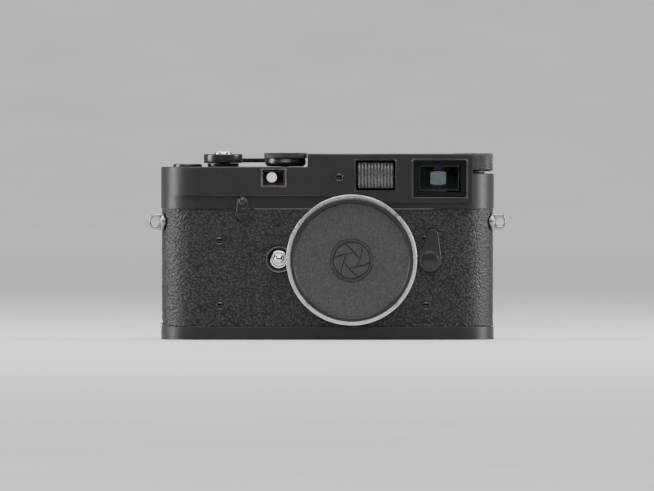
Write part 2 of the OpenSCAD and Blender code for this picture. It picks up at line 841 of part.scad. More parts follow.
module viewfinder_bezel() {
    rim = 0.7;
    step_y = face + 0.2;
    color([0.15, 0.14, 0.14]) {
        bezel(viewfinder, rim, band_face - 0.35);
        difference() {
            window_box(viewfinder, rim, step_y, bezel_back);
            slab(finder_pane_x[0], finder_pane_x[1], face - over, bezel_back + over,
                finder_pane_z[0], finder_pane_z[1]);
        }
    }
}

module viewfinder_glass() {
    color([0.1, 0.16, 0.15, 0.5])
        slab(finder_pane_x[0], finder_pane_x[1], face + 0.6, face + 1.8, finder_pane_z[0], finder_pane_z[1]);
}

module illumination_bezel() {
    color([0.15, 0.14, 0.14]) bezel(lightwindow, 0.9, band_face - 0.2);
}

module illumination_glass() {
    color([0.6, 0.6, 0.6]) window_box(lightwindow, 1, band_face + 0.5, face + 1);
}

module rangefinder_bezel() {
    color([0.2, 0.21, 0.2]) bezel(rangewindow, 0.6, band_face - 0.15);
}

module rangefinder_glass() {
    color([0.1, 0.16, 0.15, 0.5])
        window_box(rangewindow, 0.6 + bezel_slack, band_face + 0.5, face + 1.2);
}

// The thread takes a screw-in lens; the camera's own lens sits in the narrower bore behind it
module eyepiece_ring() {
    seat_back = back - 1.1;
    thread_y0 = back + eyepiece_lens_t / 2;
    color([0.12, 0.12, 0.12]) difference() {
        union() {
            rod_y(viewfinder[0], viewfinder[1], back, back + eyepiece_depth, eyepiece_ring_r);
            rod_y(viewfinder[0], viewfinder[1], seat_back, back + 2 * eps, eyepiece_r);
        }
        rod_y(viewfinder[0], viewfinder[1], seat_back - over, back + eyepiece_depth, eyepiece_lens_r);
        rod_y(viewfinder[0], viewfinder[1], thread_y0, back + eyepiece_depth + over, eyepiece_thread_r);
    }
}

module eyepiece_lens() {
    color([0.6, 0.7, 0.75, 0.5]) rod_y(viewfinder[0], viewfinder[1], back - eyepiece_lens_t / 2,
        back + eyepiece_lens_t / 2, eyepiece_lens_r);
}

// ---- accessory shoe ----

module accessory_shoe() {
    slack = 0.1;
    base_z = shoe_floor_z + shoe_floor_t;
    y0 = shoe_y0 + slack;
    y1 = back - 1.5;
    slot_y = shoe_y0 + shoe_stop_t;
    color([0.7, 0.7, 0.71]) difference() {
        bar(lens_x, shoe_w - 2 * slack, y0, y1, shoe_floor_z, high_deck_z - slack);
        bar(lens_x, shoe_slot_w, slot_y, back, base_z, base_z + shoe_foot_h);
        bar(lens_x, shoe_mouth_w, slot_y, back, base_z, high_deck_z + over);
        for (x = shoe_screw_x) post(x, shoe_screw_y, shoe_floor_z - over, base_z + over, shoe_head_r + slack);
        post(lens_x, shoe_screw_y, shoe_floor_z - over, base_z + over, contact_r + gap);
    }
}

module shoe_contact() {
    color([0.75, 0.65, 0.3])
        post(lens_x, shoe_screw_y, shoe_floor_z, shoe_floor_z + shoe_floor_t + eps, contact_r);
}

module shoe_screws() {
    shank_l = 1.6;
    color([0.6, 0.6, 0.6]) for (x = shoe_screw_x) {
        post(x, shoe_screw_y, shoe_floor_z, shoe_floor_z + shoe_floor_t - eps, shoe_head_r);
        post(x, shoe_screw_y, shoe_floor_z - shank_l, shoe_floor_z, shoe_shank_r);
    }
}

// ---- small fixed parts ----

// side is -1 for the left end and 1 for the right
module strap_lug(side) {
    tilt = side > 0 ? -lug_tilt : 180 + lug_tilt;
    stem = side > 0 ? lug_stem_x : [-lug_stem_x[1], -lug_stem_x[0]];
    blade = [
        [0, lug_tip_r], [0, -lug_tip_r], [-side * lug_root[0], -lug_root[1]], [-side * lug_root[0], lug_root[1]]
    ];
    color([0.82, 0.82, 0.82]) difference() {
        union() {
            translate([side * end_x, mid_y, lug_z]) rotate([0, 90, tilt]) translate([0, 0, shell_d / 2])
                cylinder(h = lug_pad_t, r = lug_pad_r);
            rod_x(lug_y, lug_z, stem[0], stem[1], lug_stem_r);
            rod_y(side * lug_eye_x, lug_z, lug_y - lug_t / 2, lug_y + lug_t / 2, lug_tip_r);
            profile_y(side * lug_eye_x, lug_z, lug_y - lug_t / 2, lug_y + lug_t / 2, blade);
        }
        rod_y(side * lug_eye_x, lug_z, lug_y - lug_t, lug_y + lug_t, lug_eye_r);
    }
}

module strap_lug_left() {
    strap_lug(-1);
}

module strap_lug_right() {
    strap_lug(1);
}

module front_screws() {
    sink = 0.15;
    color([0.12, 0.12, 0.12]) for (s = front_screw_at)
        screw_y(s[0], s[1], face + sink, front_head_r, skin_t - sink, front_shank_r, front_shank_l);
}

module band_screw() {
    color([0.14, 0.14, 0.14]) screw_y(band_screw_at[0], band_screw_at[1], band_face - band_head_h,
        band_head_r, band_head_h, band_shank_r, band_shank_l);
}

module gear_plate() {
    z0 = gear_plate_z[0];
    z1 = gear_plate_z[1];
    foot_r = 0.9;
    color([0.7, 0.65, 0.45]) {
        difference() {
            slab(gear_plate_x[0], gear_plate_x[1], gear_plate_y[0], gear_plate_y[1], z0, z1);
            post(advance_x, 0, z0 - over, z1 + over, advance_shaft_r + fit);
            post(takeup_x, 0, z0 - over, z1 + over, takeup_shaft_r + fit);
            post(sprocket_x, sprocket_y, z0 - over, z1 + over, sprocket_shaft_r + fit);
            post(counter_disc_x, counter_disc_y, z0 - over, z1 + over, counter_shaft_r + fit);
        }
        for (p = gear_plate_feet) post(p[0], p[1], deck_z1, z0, foot_r);
    }
}

module flash_socket() {
    color([0.7, 0.7, 0.7]) difference() {
        union() {
            rod_y(flash_at[0], flash_at[1], back, back + flash_rim_t, flash_rim_r);
            rod_y(flash_at[0], flash_at[1], back - flash_depth[1], back, flash_r);
        }
        rod_y(flash_at[0], flash_at[1], back - flash_depth[0], back + over + flash_rim_t, flash_bore_r);
    }
}

module door_hinge_pin() {
    color([0.7, 0.7, 0.7]) rod_x(door_hinge_y, door_hinge_z, door_x0 - 0.1, door_x1 + 0.1, door_pin_r);
}

module base_catch_pin() {
    shell_end = -shell_w / 2;
    color([0.75, 0.75, 0.75]) {
        rod_x(0, catch_z, -body_w / 2 - gap, shell_end, catch_r);
        rod_x(0, catch_stem_z, shell_end - eps, shell_end + catch_stem_l, catch_stem_r);
    }
}

// Hook on the body that the turned key's arm draws up against
module base_catch_hook() {
    wall_h = 8;
    lip_h = 0.8;
    translate([key_x, mid_y, hook_z]) rotate([0, 0, -hook_sweep / 2]) color([0.6, 0.6, 0.6]) {
        rotate_extrude(angle = hook_sweep) translate([hook_r, 0]) square([hook_wall, wall_h]);
        rotate_extrude(angle = hook_sweep) translate([hook_r - hook_lip, 0]) square([hook_lip + 0.2, lip_h]);
    }
}

// ---- film transport ----

module advance_lever() {
    shoulder = [advance_x + 2, 4];
    shoulder_r = 4;
    cup_z = lever_z0 + 0.3;
    shaft_z0 = gear_z1 - 4.6;
    tip_rise = 1.2;
    color([0.12, 0.115, 0.115]) difference() {
        union() {
            post(advance_x, 0, lever_z0, hub_z1 - edge, hub_r);
            taper(advance_x, 0, hub_z1 - edge, hub_z1, hub_r, hub_r - edge);
            hull() {
                post(shoulder[0], shoulder[1], arm_z[0], arm_z[1], shoulder_r, $fn = 32);
                post(arm_knee[0], arm_knee[1], arm_z[0], arm_z[1], arm_knee_r, $fn = 32);
            }
            hull() {
                post(arm_knee[0], arm_knee[1], arm_z[0], arm_z[1], arm_knee_r, $fn = 32);
                post(arm_tip[0], arm_tip[1], arm_z[0], arm_z[1], arm_tip_r, $fn = 32);
            }
            post(arm_tip[0], arm_tip[1], arm_z[0], arm_z[1] + tip_rise, arm_tip_r);
            post(advance_x, 0, shaft_z0, lever_z0 + 0.1, advance_shaft_r);
            gear(advance_x, 0, gear_z0, gear_z1, advance_teeth, gear_module, 180);
        }
        post(advance_x, 0, cup_z, hub_z1 + over, button_r + 0.1);
        post(advance_x, 0, shaft_z0 - over, hub_z1, release_rod_r + fit);
    }
}

module release_button() {
    rod_z0 = 58;
    color([0.85, 0.85, 0.85]) difference() {
        union() {
            post(advance_x, 0, button_z[0], button_z[1] - button_dome, button_r);
            taper(advance_x, 0, button_z[1] - button_dome, button_z[1], button_r, button_r - 2 * button_dome);
            post(advance_x, 0, rod_z0, button_z[0], release_rod_r);
        }
        post(advance_x, 0, button_z[1] - cable_depth, button_z[1] + over, cable_r);
    }
}

module shutter_dial() {
    shaft_z0 = 64;
    color([0.13, 0.125, 0.125]) {
        taper(dial_x, dial_y, dial_z[0], dial_z[1], dial_foot_r, dial_skirt_r);
        taper(dial_x, dial_y, dial_z[1], dial_z[2], dial_skirt_r, dial_neck_r);
        post(dial_x, dial_y, dial_z[2], dial_z[3], dial_r);
        post(dial_x, dial_y, shaft_z0, dial_z[0], dial_shaft_r);
    }
}

module counter_disc() {
    shaft_z0 = 59;
    color([0.9, 0.9, 0.88]) {
        post(counter_disc_x, counter_disc_y, counter_disc_z[0], counter_disc_z[1], counter_disc_r);
        post(counter_disc_x, counter_disc_y, shaft_z0, counter_disc_z[0], counter_shaft_r);
    }
}

module takeup_spool() {
    line = 180;
    color([0.2, 0.2, 0.2]) {
        post(takeup_x, 0, spool_z[1], spool_z[2], spool_r);
        post(takeup_x, 0, spool_z[0], spool_z[1], spool_flange_r);
        post(takeup_x, 0, spool_z[2], shaft_top, takeup_shaft_r);
        gear(takeup_x, 0, gear_z0, gear_z1, takeup_teeth, gear_module,
            mesh_turn(line, 180, advance_teeth, takeup_teeth));
    }
}

module film_sprocket() {
    line = atan2(sprocket_y, sprocket_x - advance_x);
    pitch_angle = 360 / advance_teeth;
    near = 180 - pitch_angle * round((180 - line) / pitch_angle);
    tooth_step = 360 / wheel_teeth;
    tooth_root = wheel_r - 0.5;
    shaft_z0 = 7.2;
    color([0.7, 0.7, 0.7]) {
        post(sprocket_x, sprocket_y, sprocket_z[0], sprocket_z[1], sprocket_r);
        for (z = wheel_z) {
            post(sprocket_x, sprocket_y, z, z + wheel_h, wheel_r);
            for (k = [0:wheel_teeth - 1])
                translate([sprocket_x, mid_y + sprocket_y, z + wheel_h / 2])
                rotate([0, 0, (k + 0.5) * tooth_step])
                translate([tooth_root, -wheel_tooth[1] / 2, -wheel_tooth[2] / 2]) cube(wheel_tooth);
        }
        post(sprocket_x, sprocket_y, shaft_z0, shaft_top, sprocket_shaft_r);
        gear(sprocket_x, sprocket_y, gear_z0, gear_z1, sprocket_teeth, gear_module,
            mesh_turn(line, near, advance_teeth, sprocket_teeth));
    }
}

// ---- rewind ----

module rewind_shaft() {
    shaft_z0 = 55;
    color([0.6, 0.6, 0.6]) {
        post(knob_x, 0, shaft_z0, knob_bore_z - gap, knob_shaft_r);
        gear(knob_x, 0, rewind_gear_z0, rewind_gear_z1, rewind_teeth, rewind_module, 180);
    }
}

module rewind_knob() {
    foot = 0.6;
    foot_r = knob_r - 1;
    rim = 0.4;
    color([0.13, 0.125, 0.125]) difference() {
        union() {
            taper(knob_x, 0, knob_z0, knob_z0 + foot, foot_r, knob_r);
            post(knob_x, 0, knob_z0 + foot, knob_z1 - rim, knob_r);
            taper(knob_x, 0, knob_z1 - rim, knob_z1, knob_r, knob_r - rim);
        }
        post(knob_x, 0, knob_z0 - over, knob_bore_z, knob_shaft_r + fit);
    }
}

module rewind_fork() {
    shaft_top_z = 59.2;
    prong_x = (fork_prong_x[0] + fork_prong_x[1]) / 2;
    prong_w = fork_prong_x[1] - fork_prong_x[0];
    color([0.65, 0.65, 0.65]) {
        post(end_x, 0, fork_disc_z[0] + gap, shaft_top_z, fork_r);
        for (side = [-1, 1]) bar(end_x + side * prong_x, prong_w, -fork_prong_t / 2, fork_prong_t / 2,
            fork_prong_z, fork_disc_z[1]);
        post(end_x, 0, fork_disc_z[0], fork_disc_z[1], fork_disc_r);
        gear(end_x, 0, rewind_gear_z0, rewind_gear_z1, rewind_teeth, rewind_module,
            mesh_turn(180, 180, rewind_teeth, rewind_teeth));
    }
}

// ---- controls on the front ----

module reverse_lever() {
    y0 = face - gap - lever_t;
    y1 = face - gap;
    x = reverse_at[0];
    z = reverse_at[1];
    tail = [[-2.2, -1.5], [0, -3.6], [2.2, -1.5]];
    dome_h = 0.7;
    pivot_head_r = 2.1;
    pivot_head_h = 0.4;
    pivot_l = 4.9;
    color([0.12, 0.12, 0.12]) {
        rod_y(x, z, y0, y1, reverse_r);
        rod_y(reverse_tip[0], reverse_tip[1], y0, y1, reverse_head_r);
        bar(x, 2 * reverse_head_r, y0, y1, z, reverse_tip[1]);
        profile_y(x, z, y0, y1, tail);
        rod_y(reverse_tip[0], reverse_tip[1], y0 - dome_h, y0, reverse_dome_r);
        screw_y(x, z, y0 - pivot_head_h, pivot_head_r, pivot_head_h, reverse_shaft_r, pivot_l);
    }
}

module frame_selector() {
    y0 = face - gap - lever_t - 0.1;
    y1 = face - gap;
    reach = selector_tip - selector_at;
    r = selector_arm_r;
    shoulder = selector_shoulder;
    disc_h = 0.3;
    color([0.12, 0.12, 0.12]) {
        rod_y(selector_at[0], selector_at[1], y0, y1, selector_r);
        rod_y(selector_tip[0], selector_tip[1], y0, y1, r);
        profile_y(selector_at[0], selector_at[1], y0, y1,
            [[-shoulder[0], 0], [shoulder[0], 0], shoulder, reach + [r, 0], reach - [r, 0],
                [-shoulder[0], shoulder[1]]]);
        rod_y(selector_at[0], selector_at[1], y0 - disc_h, y0, selector_disc_r);
        rod_y(selector_at[0], selector_at[1], y1, shell_in + 2.2, selector_shaft_r);
    }
}

module rangefinder_arm() {
    z0 = arm_levels[0];
    arm_h = arm_levels[1] - z0;
    reach = [lens_x - arm_pivot[0], roller_y - arm_pivot[1]];
    roller_boss_r = 1;
    color([0.7, 0.65, 0.45]) {
        post(arm_pivot[0], arm_pivot[1], z0, arm_levels[2], arm_boss_r);
        translate([arm_pivot[0], mid_y + arm_pivot[1], z0]) rotate([0, 0, atan2(reach[1], reach[0])])
            translate([0, -arm_w / 2, 0]) cube([norm(reach), arm_w, arm_h]);
        post(lens_x, roller_y, z0, arm_levels[1], roller_boss_r);
        post(lens_x, roller_y, z0, arm_levels[2], roller_pin_r);
        post(arm_pivot[0], arm_pivot[1], arm_levels[2], arm_levels[3], arm_pivot_r);
    }
}

module rangefinder_roller() {
    color([0.75, 0.75, 0.75]) difference() {
        post(lens_x, roller_y, roller_z[0], roller_z[1], roller_r);
        post(lens_x, roller_y, roller_z[0] - over, roller_z[1] + over, roller_pin_r + fit);
    }
}

// ---- body cap ----

module body_cap() {
    back_y = mount_face - 0.1;
    sleeve_r = throat_r - 0.2;
    color([0.24, 0.24, 0.26]) {
        difference() {
            union() {
                rod_y(lens_x, lens_z, cap_front, back_y, cap_r);
                rod_y(lens_x, lens_z, back_y, cap_tab_y[1], sleeve_r);
            }
            rod_y(lens_x, lens_z, cap_front - over, cap_front + cap_recess, cap_recess_r);
            rod_y(lens_x, lens_z, cap_front + cap_front_wall, cap_tab_y[1] + over, sleeve_r - cap_sleeve_wall);
        }
        for (a = cap_tab_angles)
            mount_sector(sleeve_r - gap, cap_tab_r, cap_tab_y[0], cap_tab_y[1], a, cap_tab_sweep);
    }
}

// ---- base plate ----

// The lip lies below the catch pin, and the plate swings on it
module base_plate() {
    notch_x = -body_w / 2 + base_wall + over;
    notch_y = catch_r + gap;
    color([0.18, 0.165, 0.165]) {
        difference() {
            union() {
                difference() {
                    stadium(body_w, body_t, 0, base_h);
                    stadium(body_w - 2 * base_wall, body_t - 2 * base_wall, base_floor, base_h + over);
                }
                post(key_x, 0, 0, key_boss_z, key_boss_r);
                post(tripod_x, 0, 0, tripod_boss_z, tripod_boss_r);
            }
            post(key_x, 0, -over, key_cup_z, key_cup_r);
            post(key_x, 0, -over, key_boss_z + over, key_shaft_r + fit);
            post(tripod_x, 0, -over, tripod_boss_z + over, tripod_r);
            slab(-body_w, notch_x, -notch_y, notch_y, catch_z - notch_y, base_h + over);
        }
        rod_y(catch_lip_x, catch_lip_z, -notch_y, notch_y, catch_lip_r);
    }
}

module tripod_socket() {
    socket_z = [0.1, 5.3];
    slack = 0.02;
    color([0.75, 0.75, 0.75]) difference() {
        post(tripod_x, 0, socket_z[0], socket_z[1], tripod_r - slack);
        post(tripod_x, 0, -over, socket_z[0] + tripod_thread_l, tripod_thread_r);
    }
}

// The arm points inboard here, clear of the hook, and draws up on it half a turn on
module base_key_hub() {
    bridge_y = 0.9;
    ear_w = key_ear[1];
    color([0.7, 0.7, 0.71]) difference() {
        union() {
            post(key_x, 0, key_face_z, key_cup_z - 0.1, key_r);
            post(key_x, 0, key_cup_z - 0.1, key_arm_z[1], key_shaft_r);
            slab(key_x - key_arm[0], key_x, -key_arm[1] / 2, key_arm[1] / 2, key_arm_z[0], key_arm_z[1]);
        }
        difference() {
            post(key_x, 0, -over, key_well_z, key_well_r[1]);
            post(key_x, 0, -over, key_well_z + over, key_well_r[0]);
            slab(key_x - body_t, key_x + body_t, -body_t, bridge_y, -over, key_well_z + over);
        }
        for (side = [-1, 1])
            bar(key_x + side * key_ear[0], 2 * ear_w, -bridge_y, bridge_y + 0.1, -over, key_well_z);
    }
}

module base_key_ring() {
    pin_z = (key_ring_z[0] + key_ring_z[1]) / 2;
    color([0.8, 0.8, 0.8]) {
        intersection() {
            difference() {
                post(key_x, 0, key_ring_z[0], key_ring_z[1], key_ring_r[1]);
                post(key_x, 0, -over, key_ring_z[1] + over, key_ring_r[0]);
            }
            slab(key_x - body_t, key_x + body_t, gap, body_t, 0, base_h);
        }
        for (side = [-1, 1]) rod_x(0, pin_z, key_x + side * key_ear[0] - key_ear[1] + gap,
            key_x + side * key_ear[0] + key_ear[1] - gap, key_pin_r);
    }
}

// ---- rear door ----

module rear_door() {
    knuckle_x0 = door_x0 + knuckle_l + gap;
    knuckle_x1 = door_x1 - knuckle_l - gap;
    inner = back - skin_t - door_t;
    color([0.16, 0.15, 0.15]) difference() {
        union() {
            slab(door_x0, door_x1, inner, back - skin_t, shell_z0, door_z1);
            slab(knuckle_x0, knuckle_x1, inner, back, door_z1, door_hinge_z);
            rod_x(door_hinge_y, door_hinge_z, knuckle_x0, knuckle_x1, door_hinge_r);
        }
        rod_x(door_hinge_y, door_hinge_z, door_x0, door_x1, door_pin_r + fit);
        rod_y(lens_x, speed_dial_z, inner - over, back + over, speed_shaft_r + fit);
    }
}

module door_covering() {
    color([0.17, 0.15, 0.15]) difference() {
        slab(door_x0, door_x1, back - skin_t, back, shell_z0, door_z1 - 0.2);
        rod_y(lens_x, speed_dial_z, back - skin_t - over, back + over, speed_dial_r + 0.4);
    }
}

module pressure_plate() {
    plate_y = film_y + gap;
    leaf_h = 1;
    color([0.3, 0.3, 0.3]) {
        slab(plate_x[0], plate_x[1], plate_y, plate_y + plate_t, plate_z[0], plate_z[1]);
        for (z = spring_z)
            slab(spring_x[0], spring_x[1], plate_y + plate_t, back - skin_t - door_t, z, z + leaf_h);
    }
}

module film_speed_dial() {
    dial_y0 = back - skin_t + 0.1;
    color([0.4, 0.4, 0.4]) {
        rod_y(lens_x, speed_dial_z, dial_y0, back + speed_dial_t, speed_dial_r);
        rod_y(lens_x, speed_dial_z, back - skin_t - door_t + 0.1, dial_y0, speed_shaft_r);
    }
}

body_shell();
front_covering();
film_chassis();
film_rails();
shutter_crate();
shutter_curtain();
curtain_drums();
lens_mount_ring();
mount_screws();
top_cover();
finder_block();
finder_prism();
range_prism();
viewfinder_bezel();
viewfinder_glass();
illumination_bezel();
illumination_glass();
rangefinder_bezel();
rangefinder_glass();
eyepiece_ring();
eyepiece_lens();
accessory_shoe();
shoe_contact();
shoe_screws();
strap_lug_left();
strap_lug_right();
front_screws();
band_screw();
lens_release_guard();
gear_plate();
counter_window();
hub_collar();
rewind_collar();
flash_socket();
door_hinge_pin();
base_catch_pin();
base_catch_hook();
advance_lever();
release_button();
shutter_dial();
counter_disc();
takeup_spool();
film_sprocket();
rewind_shaft();
rewind_knob();
rewind_fork();
reverse_lever();
frame_selector();
lens_release_button();
rangefinder_arm();
rangefinder_roller();
body_cap();
base_plate();
tripod_socket();
base_key_hub();
base_key_ring();
rear_door();
door_covering();
pressure_plate();
film_speed_dial();
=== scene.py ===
"""Black 35 mm rangefinder camera: finished pieces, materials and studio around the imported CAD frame.

Lengths in this file are millimetres until they reach a mesh; MM turns them into Blender's metres.
The front of the camera faces -Y, +X is to the right as seen from the front, and +Z is up.
"""

import json
import math

import bmesh
import bpy
import numpy as np
from mathutils import Matrix, Vector, noise

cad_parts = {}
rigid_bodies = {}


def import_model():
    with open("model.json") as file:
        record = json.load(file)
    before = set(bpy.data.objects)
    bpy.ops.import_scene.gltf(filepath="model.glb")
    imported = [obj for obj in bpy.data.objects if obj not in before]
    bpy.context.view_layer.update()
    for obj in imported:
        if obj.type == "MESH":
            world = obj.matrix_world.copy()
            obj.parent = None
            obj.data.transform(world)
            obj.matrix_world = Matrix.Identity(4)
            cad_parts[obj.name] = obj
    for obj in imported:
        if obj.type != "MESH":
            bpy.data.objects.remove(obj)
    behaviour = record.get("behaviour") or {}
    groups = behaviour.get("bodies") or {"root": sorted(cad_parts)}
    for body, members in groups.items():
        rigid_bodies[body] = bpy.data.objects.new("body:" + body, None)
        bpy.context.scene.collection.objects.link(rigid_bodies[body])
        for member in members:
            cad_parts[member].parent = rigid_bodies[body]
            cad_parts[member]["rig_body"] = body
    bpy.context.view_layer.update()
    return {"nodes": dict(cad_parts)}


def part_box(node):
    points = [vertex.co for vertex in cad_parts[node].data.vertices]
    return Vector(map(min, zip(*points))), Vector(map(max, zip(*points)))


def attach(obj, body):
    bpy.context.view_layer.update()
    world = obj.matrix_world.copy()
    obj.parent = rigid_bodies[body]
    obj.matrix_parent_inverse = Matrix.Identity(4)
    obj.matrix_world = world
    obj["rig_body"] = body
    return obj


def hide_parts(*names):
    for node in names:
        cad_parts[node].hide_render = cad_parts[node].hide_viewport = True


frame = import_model()

MM = 0.001
TAU = 2 * math.pi
FRONT = (0, -1, 0)
BACK = (0, 1, 0)
UP = (0, 0, 1)


# ---------------------------------------------------------------- places, read from the frame


def box_mm(node):
    """Lowest and highest corner of a CAD node, in millimetres."""
    low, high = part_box(node)
    return low / MM, high / MM


def centre_mm(node):
    low, high = box_mm(node)
    return (low + high) / 2


def size_mm(node):
    low, high = box_mm(node)
    return high - low


def round_part(node):
    """Lowest and highest corner, centre and radius of a node that is round across X, in millimetres."""
    low, high = box_mm(node)
    return low, high, (low + high) / 2, (high.x - low.x) / 2


def loose_centres(node):
    """Centres of the separate solids in one node, in millimetres."""
    mesh = bmesh.new()
    mesh.from_mesh(frame["nodes"][node].data)
    bmesh.ops.remove_doubles(mesh, verts=mesh.verts, dist=1e-6)
    seen = set()
    centres = []
    for start in mesh.verts:
        if start.index in seen:
            continue
        island = []
        queue = [start]
        seen.add(start.index)
        while queue:
            vert = queue.pop()
            island.append(vert.co)
            for edge in vert.link_edges:
                other = edge.other_vert(vert)
                if other.index not in seen:
                    seen.add(other.index)
                    queue.append(other)
        points = np.array(island)
        centres.append(Vector((points.min(0) + points.max(0)) / 2) / MM)
    mesh.free()
    return centres


BODY_LOW, BODY_HIGH = box_mm("base_plate")
BODY_W = BODY_HIGH.x - BODY_LOW.x
BODY_T = BODY_HIGH.y - BODY_LOW.y
MID_Y = (BODY_LOW.y + BODY_HIGH.y) / 2
FACE_Y = BODY_LOW.y
BACK_Y = BODY_HIGH.y
END_R = BODY_T / 2
END_X = BODY_W / 2 - END_R
LENS = centre_mm("lens_mount_ring")
SKIN_LOW, SKIN_HIGH = box_mm("front_covering")


# ---------------------------------------------------------------- materials


def set_range(node, *limits):
    """Fills a map range node: from low, from high, to low, to high."""
    for key, value in zip(("From Min", "From Max", "To Min", "To Max"), limits):
        node.inputs[key].default_value = value


class Shader:
    """A material under construction: its node tree, links and principled shader."""

    def __init__(self, name):
        self.material = bpy.data.materials.new(name)
        self.material.use_nodes = True
        self.tree = self.material.node_tree
        self.shader = self.tree.nodes["Principled BSDF"]

    def node(self, kind, **settings):
        made = self.tree.nodes.new(kind)
        for key, value in settings.items():
            setattr(made, key, value)
        return made

    def link(self, source, target):
        self.tree.links.new(source, target)

    def set(self, **values):
        for key, value in values.items():
            self.shader.inputs[key.replace("_", " ")].default_value = value

    def position(self, stretch=(1, 1, 1)):
        """The point in the object's own space, in metres, with each axis scaled."""
        where = self.node("ShaderNodeTexCoord")
        scale = self.node("ShaderNodeMapping")
        scale.inputs["Scale"].default_value = stretch
        self.link(where.outputs["Object"], scale.inputs["Vector"])
        return scale.outputs["Vector"]

    def noise(self, scale, detail=3.0, rough=0.55, stretch=(1, 1, 1)):
        made = self.node("ShaderNodeTexNoise")
        made.inputs["Scale"].default_value = scale
        made.inputs["Detail"].default_value = detail
        made.inputs["Roughness"].default_value = rough
        self.link(self.position(stretch), made.inputs["Vector"])
        return made.outputs["Fac"]

    def radius(self, centre, axes):
        """Distance from an axis through centre, where axes says which coordinates count."""
        shift = self.node("ShaderNodeVectorMath", operation="SUBTRACT")
        shift.inputs[1].default_value = [c * MM for c in centre]
        self.link(self.position(), shift.inputs[0])
        flat = self.node("ShaderNodeVectorMath", operation="MULTIPLY")
        flat.inputs[1].default_value = axes
        self.link(shift.outputs[0], flat.inputs[0])
        length = self.node("ShaderNodeVectorMath", operation="LENGTH")
        self.link(flat.outputs[0], length.inputs[0])
        return length.outputs["Value"]

    def rings(self, centre, axes, scale):
        """Fine turning marks round an axis."""
        made = self.node("ShaderNodeTexNoise", noise_dimensions="1D")
        made.inputs["Scale"].default_value = scale
        made.inputs["Detail"].default_value = 2.0
        self.link(self.radius(centre, axes), made.inputs["W"])
        return made.outputs["Fac"]

    def ramp(self, source, stops):
        """A colour ramp; stops are (position, colour)."""
        made = self.node("ShaderNodeValToRGB")
        entries = made.color_ramp.elements
        while len(entries) < len(stops):
            entries.new(0.5)
        for entry, (place, colour) in zip(entries, stops):
            entry.position = place
            entry.color = (*colour, 1)
        self.link(source, made.inputs["Fac"])
        return made.outputs["Color"]

    def span(self, source, low, high, from_low=0.3, from_high=0.7):
        """Maps a texture value to a number between low and high."""
        made = self.node("ShaderNodeMapRange")
        set_range(made, from_low, from_high, low, high)
        self.link(source, made.inputs["Value"])
        return made.outputs["Result"]

    def bump(self, source, height, strength):
        """Adds relief of that height, in millimetres, on top of any relief already there."""
        made = self.node("ShaderNodeBump")
        made.inputs["Distance"].default_value = height * MM
        made.inputs["Strength"].default_value = strength
        self.link(source, made.inputs["Height"])
        before = self.shader.inputs["Normal"]
        if before.is_linked:
            self.link(before.links[0].from_socket, made.inputs["Normal"])
        self.link(made.outputs["Normal"], self.shader.inputs["Normal"])


def paint(name, dark, light, rough=0.4, shine=0.36):
    """Satin black finish: faint mottling and orange peel."""
    s = Shader(name)
    mottle = s.noise(90, 4)
    s.link(s.ramp(mottle, [(0.3, dark), (0.7, light)]), s.shader.inputs["Base Color"])
    s.link(s.span(s.noise(700, 2), rough - 0.04, rough + 0.06), s.shader.inputs["Roughness"])
    s.bump(s.noise(5200, 2), 0.006, 0.5)
    s.bump(s.noise(240, 2), 0.01, 0.2)
    s.set(Specular_IOR_Level=shine)
    return s.material


def leather(name):
    """Bonded covering: its grain is in the mesh; its colour is painted shade in the creases and a painted
    highlight on the tops.
    """
    s = Shader(name)
    pores = s.noise(2600, 4, 0.65)
    relief = s.node("ShaderNodeAttribute", attribute_name="grain")
    # Colour follows the grain's height: crease is painted shade in the hollows, top a painted highlight on the
    # raised cells.
    crease, slope, top = (0.002, 0.0016, 0.0016), (0.012, 0.0095, 0.0099), (0.052, 0.043, 0.0445)
    tone = s.ramp(relief.outputs["Fac"], [(0.05, crease), (0.4, slope), (0.85, top)])
    s.link(tone, s.shader.inputs["Base Color"])
    s.link(s.span(pores, 0.44, 0.58), s.shader.inputs["Roughness"])
    s.bump(pores, 0.03, 0.5)
    s.set(Specular_IOR_Level=0.36)
    return s.material


def metal(name, colour, rough, grain=(1, 1, 14), scale=900):
    """Bare metal with a fine brushed grain."""
    s = Shader(name)
    brushed = s.noise(scale, 3, 0.6, stretch=grain)
    darker = tuple(c * 0.82 for c in colour)
    s.link(s.ramp(brushed, [(0.3, darker), (0.7, colour)]), s.shader.inputs["Base Color"])
    s.link(s.span(brushed, rough - 0.05, rough + 0.07), s.shader.inputs["Roughness"])
    s.bump(brushed, 0.004, 0.4)
    s.set(Metallic=1.0)
    return s.material


def turned(name, colour, rough, centre, axes):
    """Metal turned on a lathe: rings round its own axis."""
    s = Shader(name)
    rings = s.rings(centre, axes, 5200)
    mottle = s.noise(260, 3)
    darker = tuple(c * 0.86 for c in colour)
    s.link(s.ramp(mottle, [(0.3, darker), (0.7, colour)]), s.shader.inputs["Base Color"])
    s.link(s.span(rings, rough - 0.05, rough + 0.08), s.shader.inputs["Roughness"])
    s.bump(rings, 0.006, 0.5)
    s.set(Metallic=1.0)
    return s.material


def grained_plastic(name, dark, light, rough, scale, height):
    """Moulded plastic with a fine spark-eroded grain."""
    s = Shader(name)
    grain = s.noise(scale, 3, 0.7)
    s.link(s.ramp(grain, [(0.35, dark), (0.68, light)]), s.shader.inputs["Base Color"])
    s.link(s.span(s.noise(500, 2), rough - 0.05, rough + 0.06), s.shader.inputs["Roughness"])
    s.bump(grain, height, 0.7)
    s.set(Specular_IOR_Level=0.42)
    return s.material


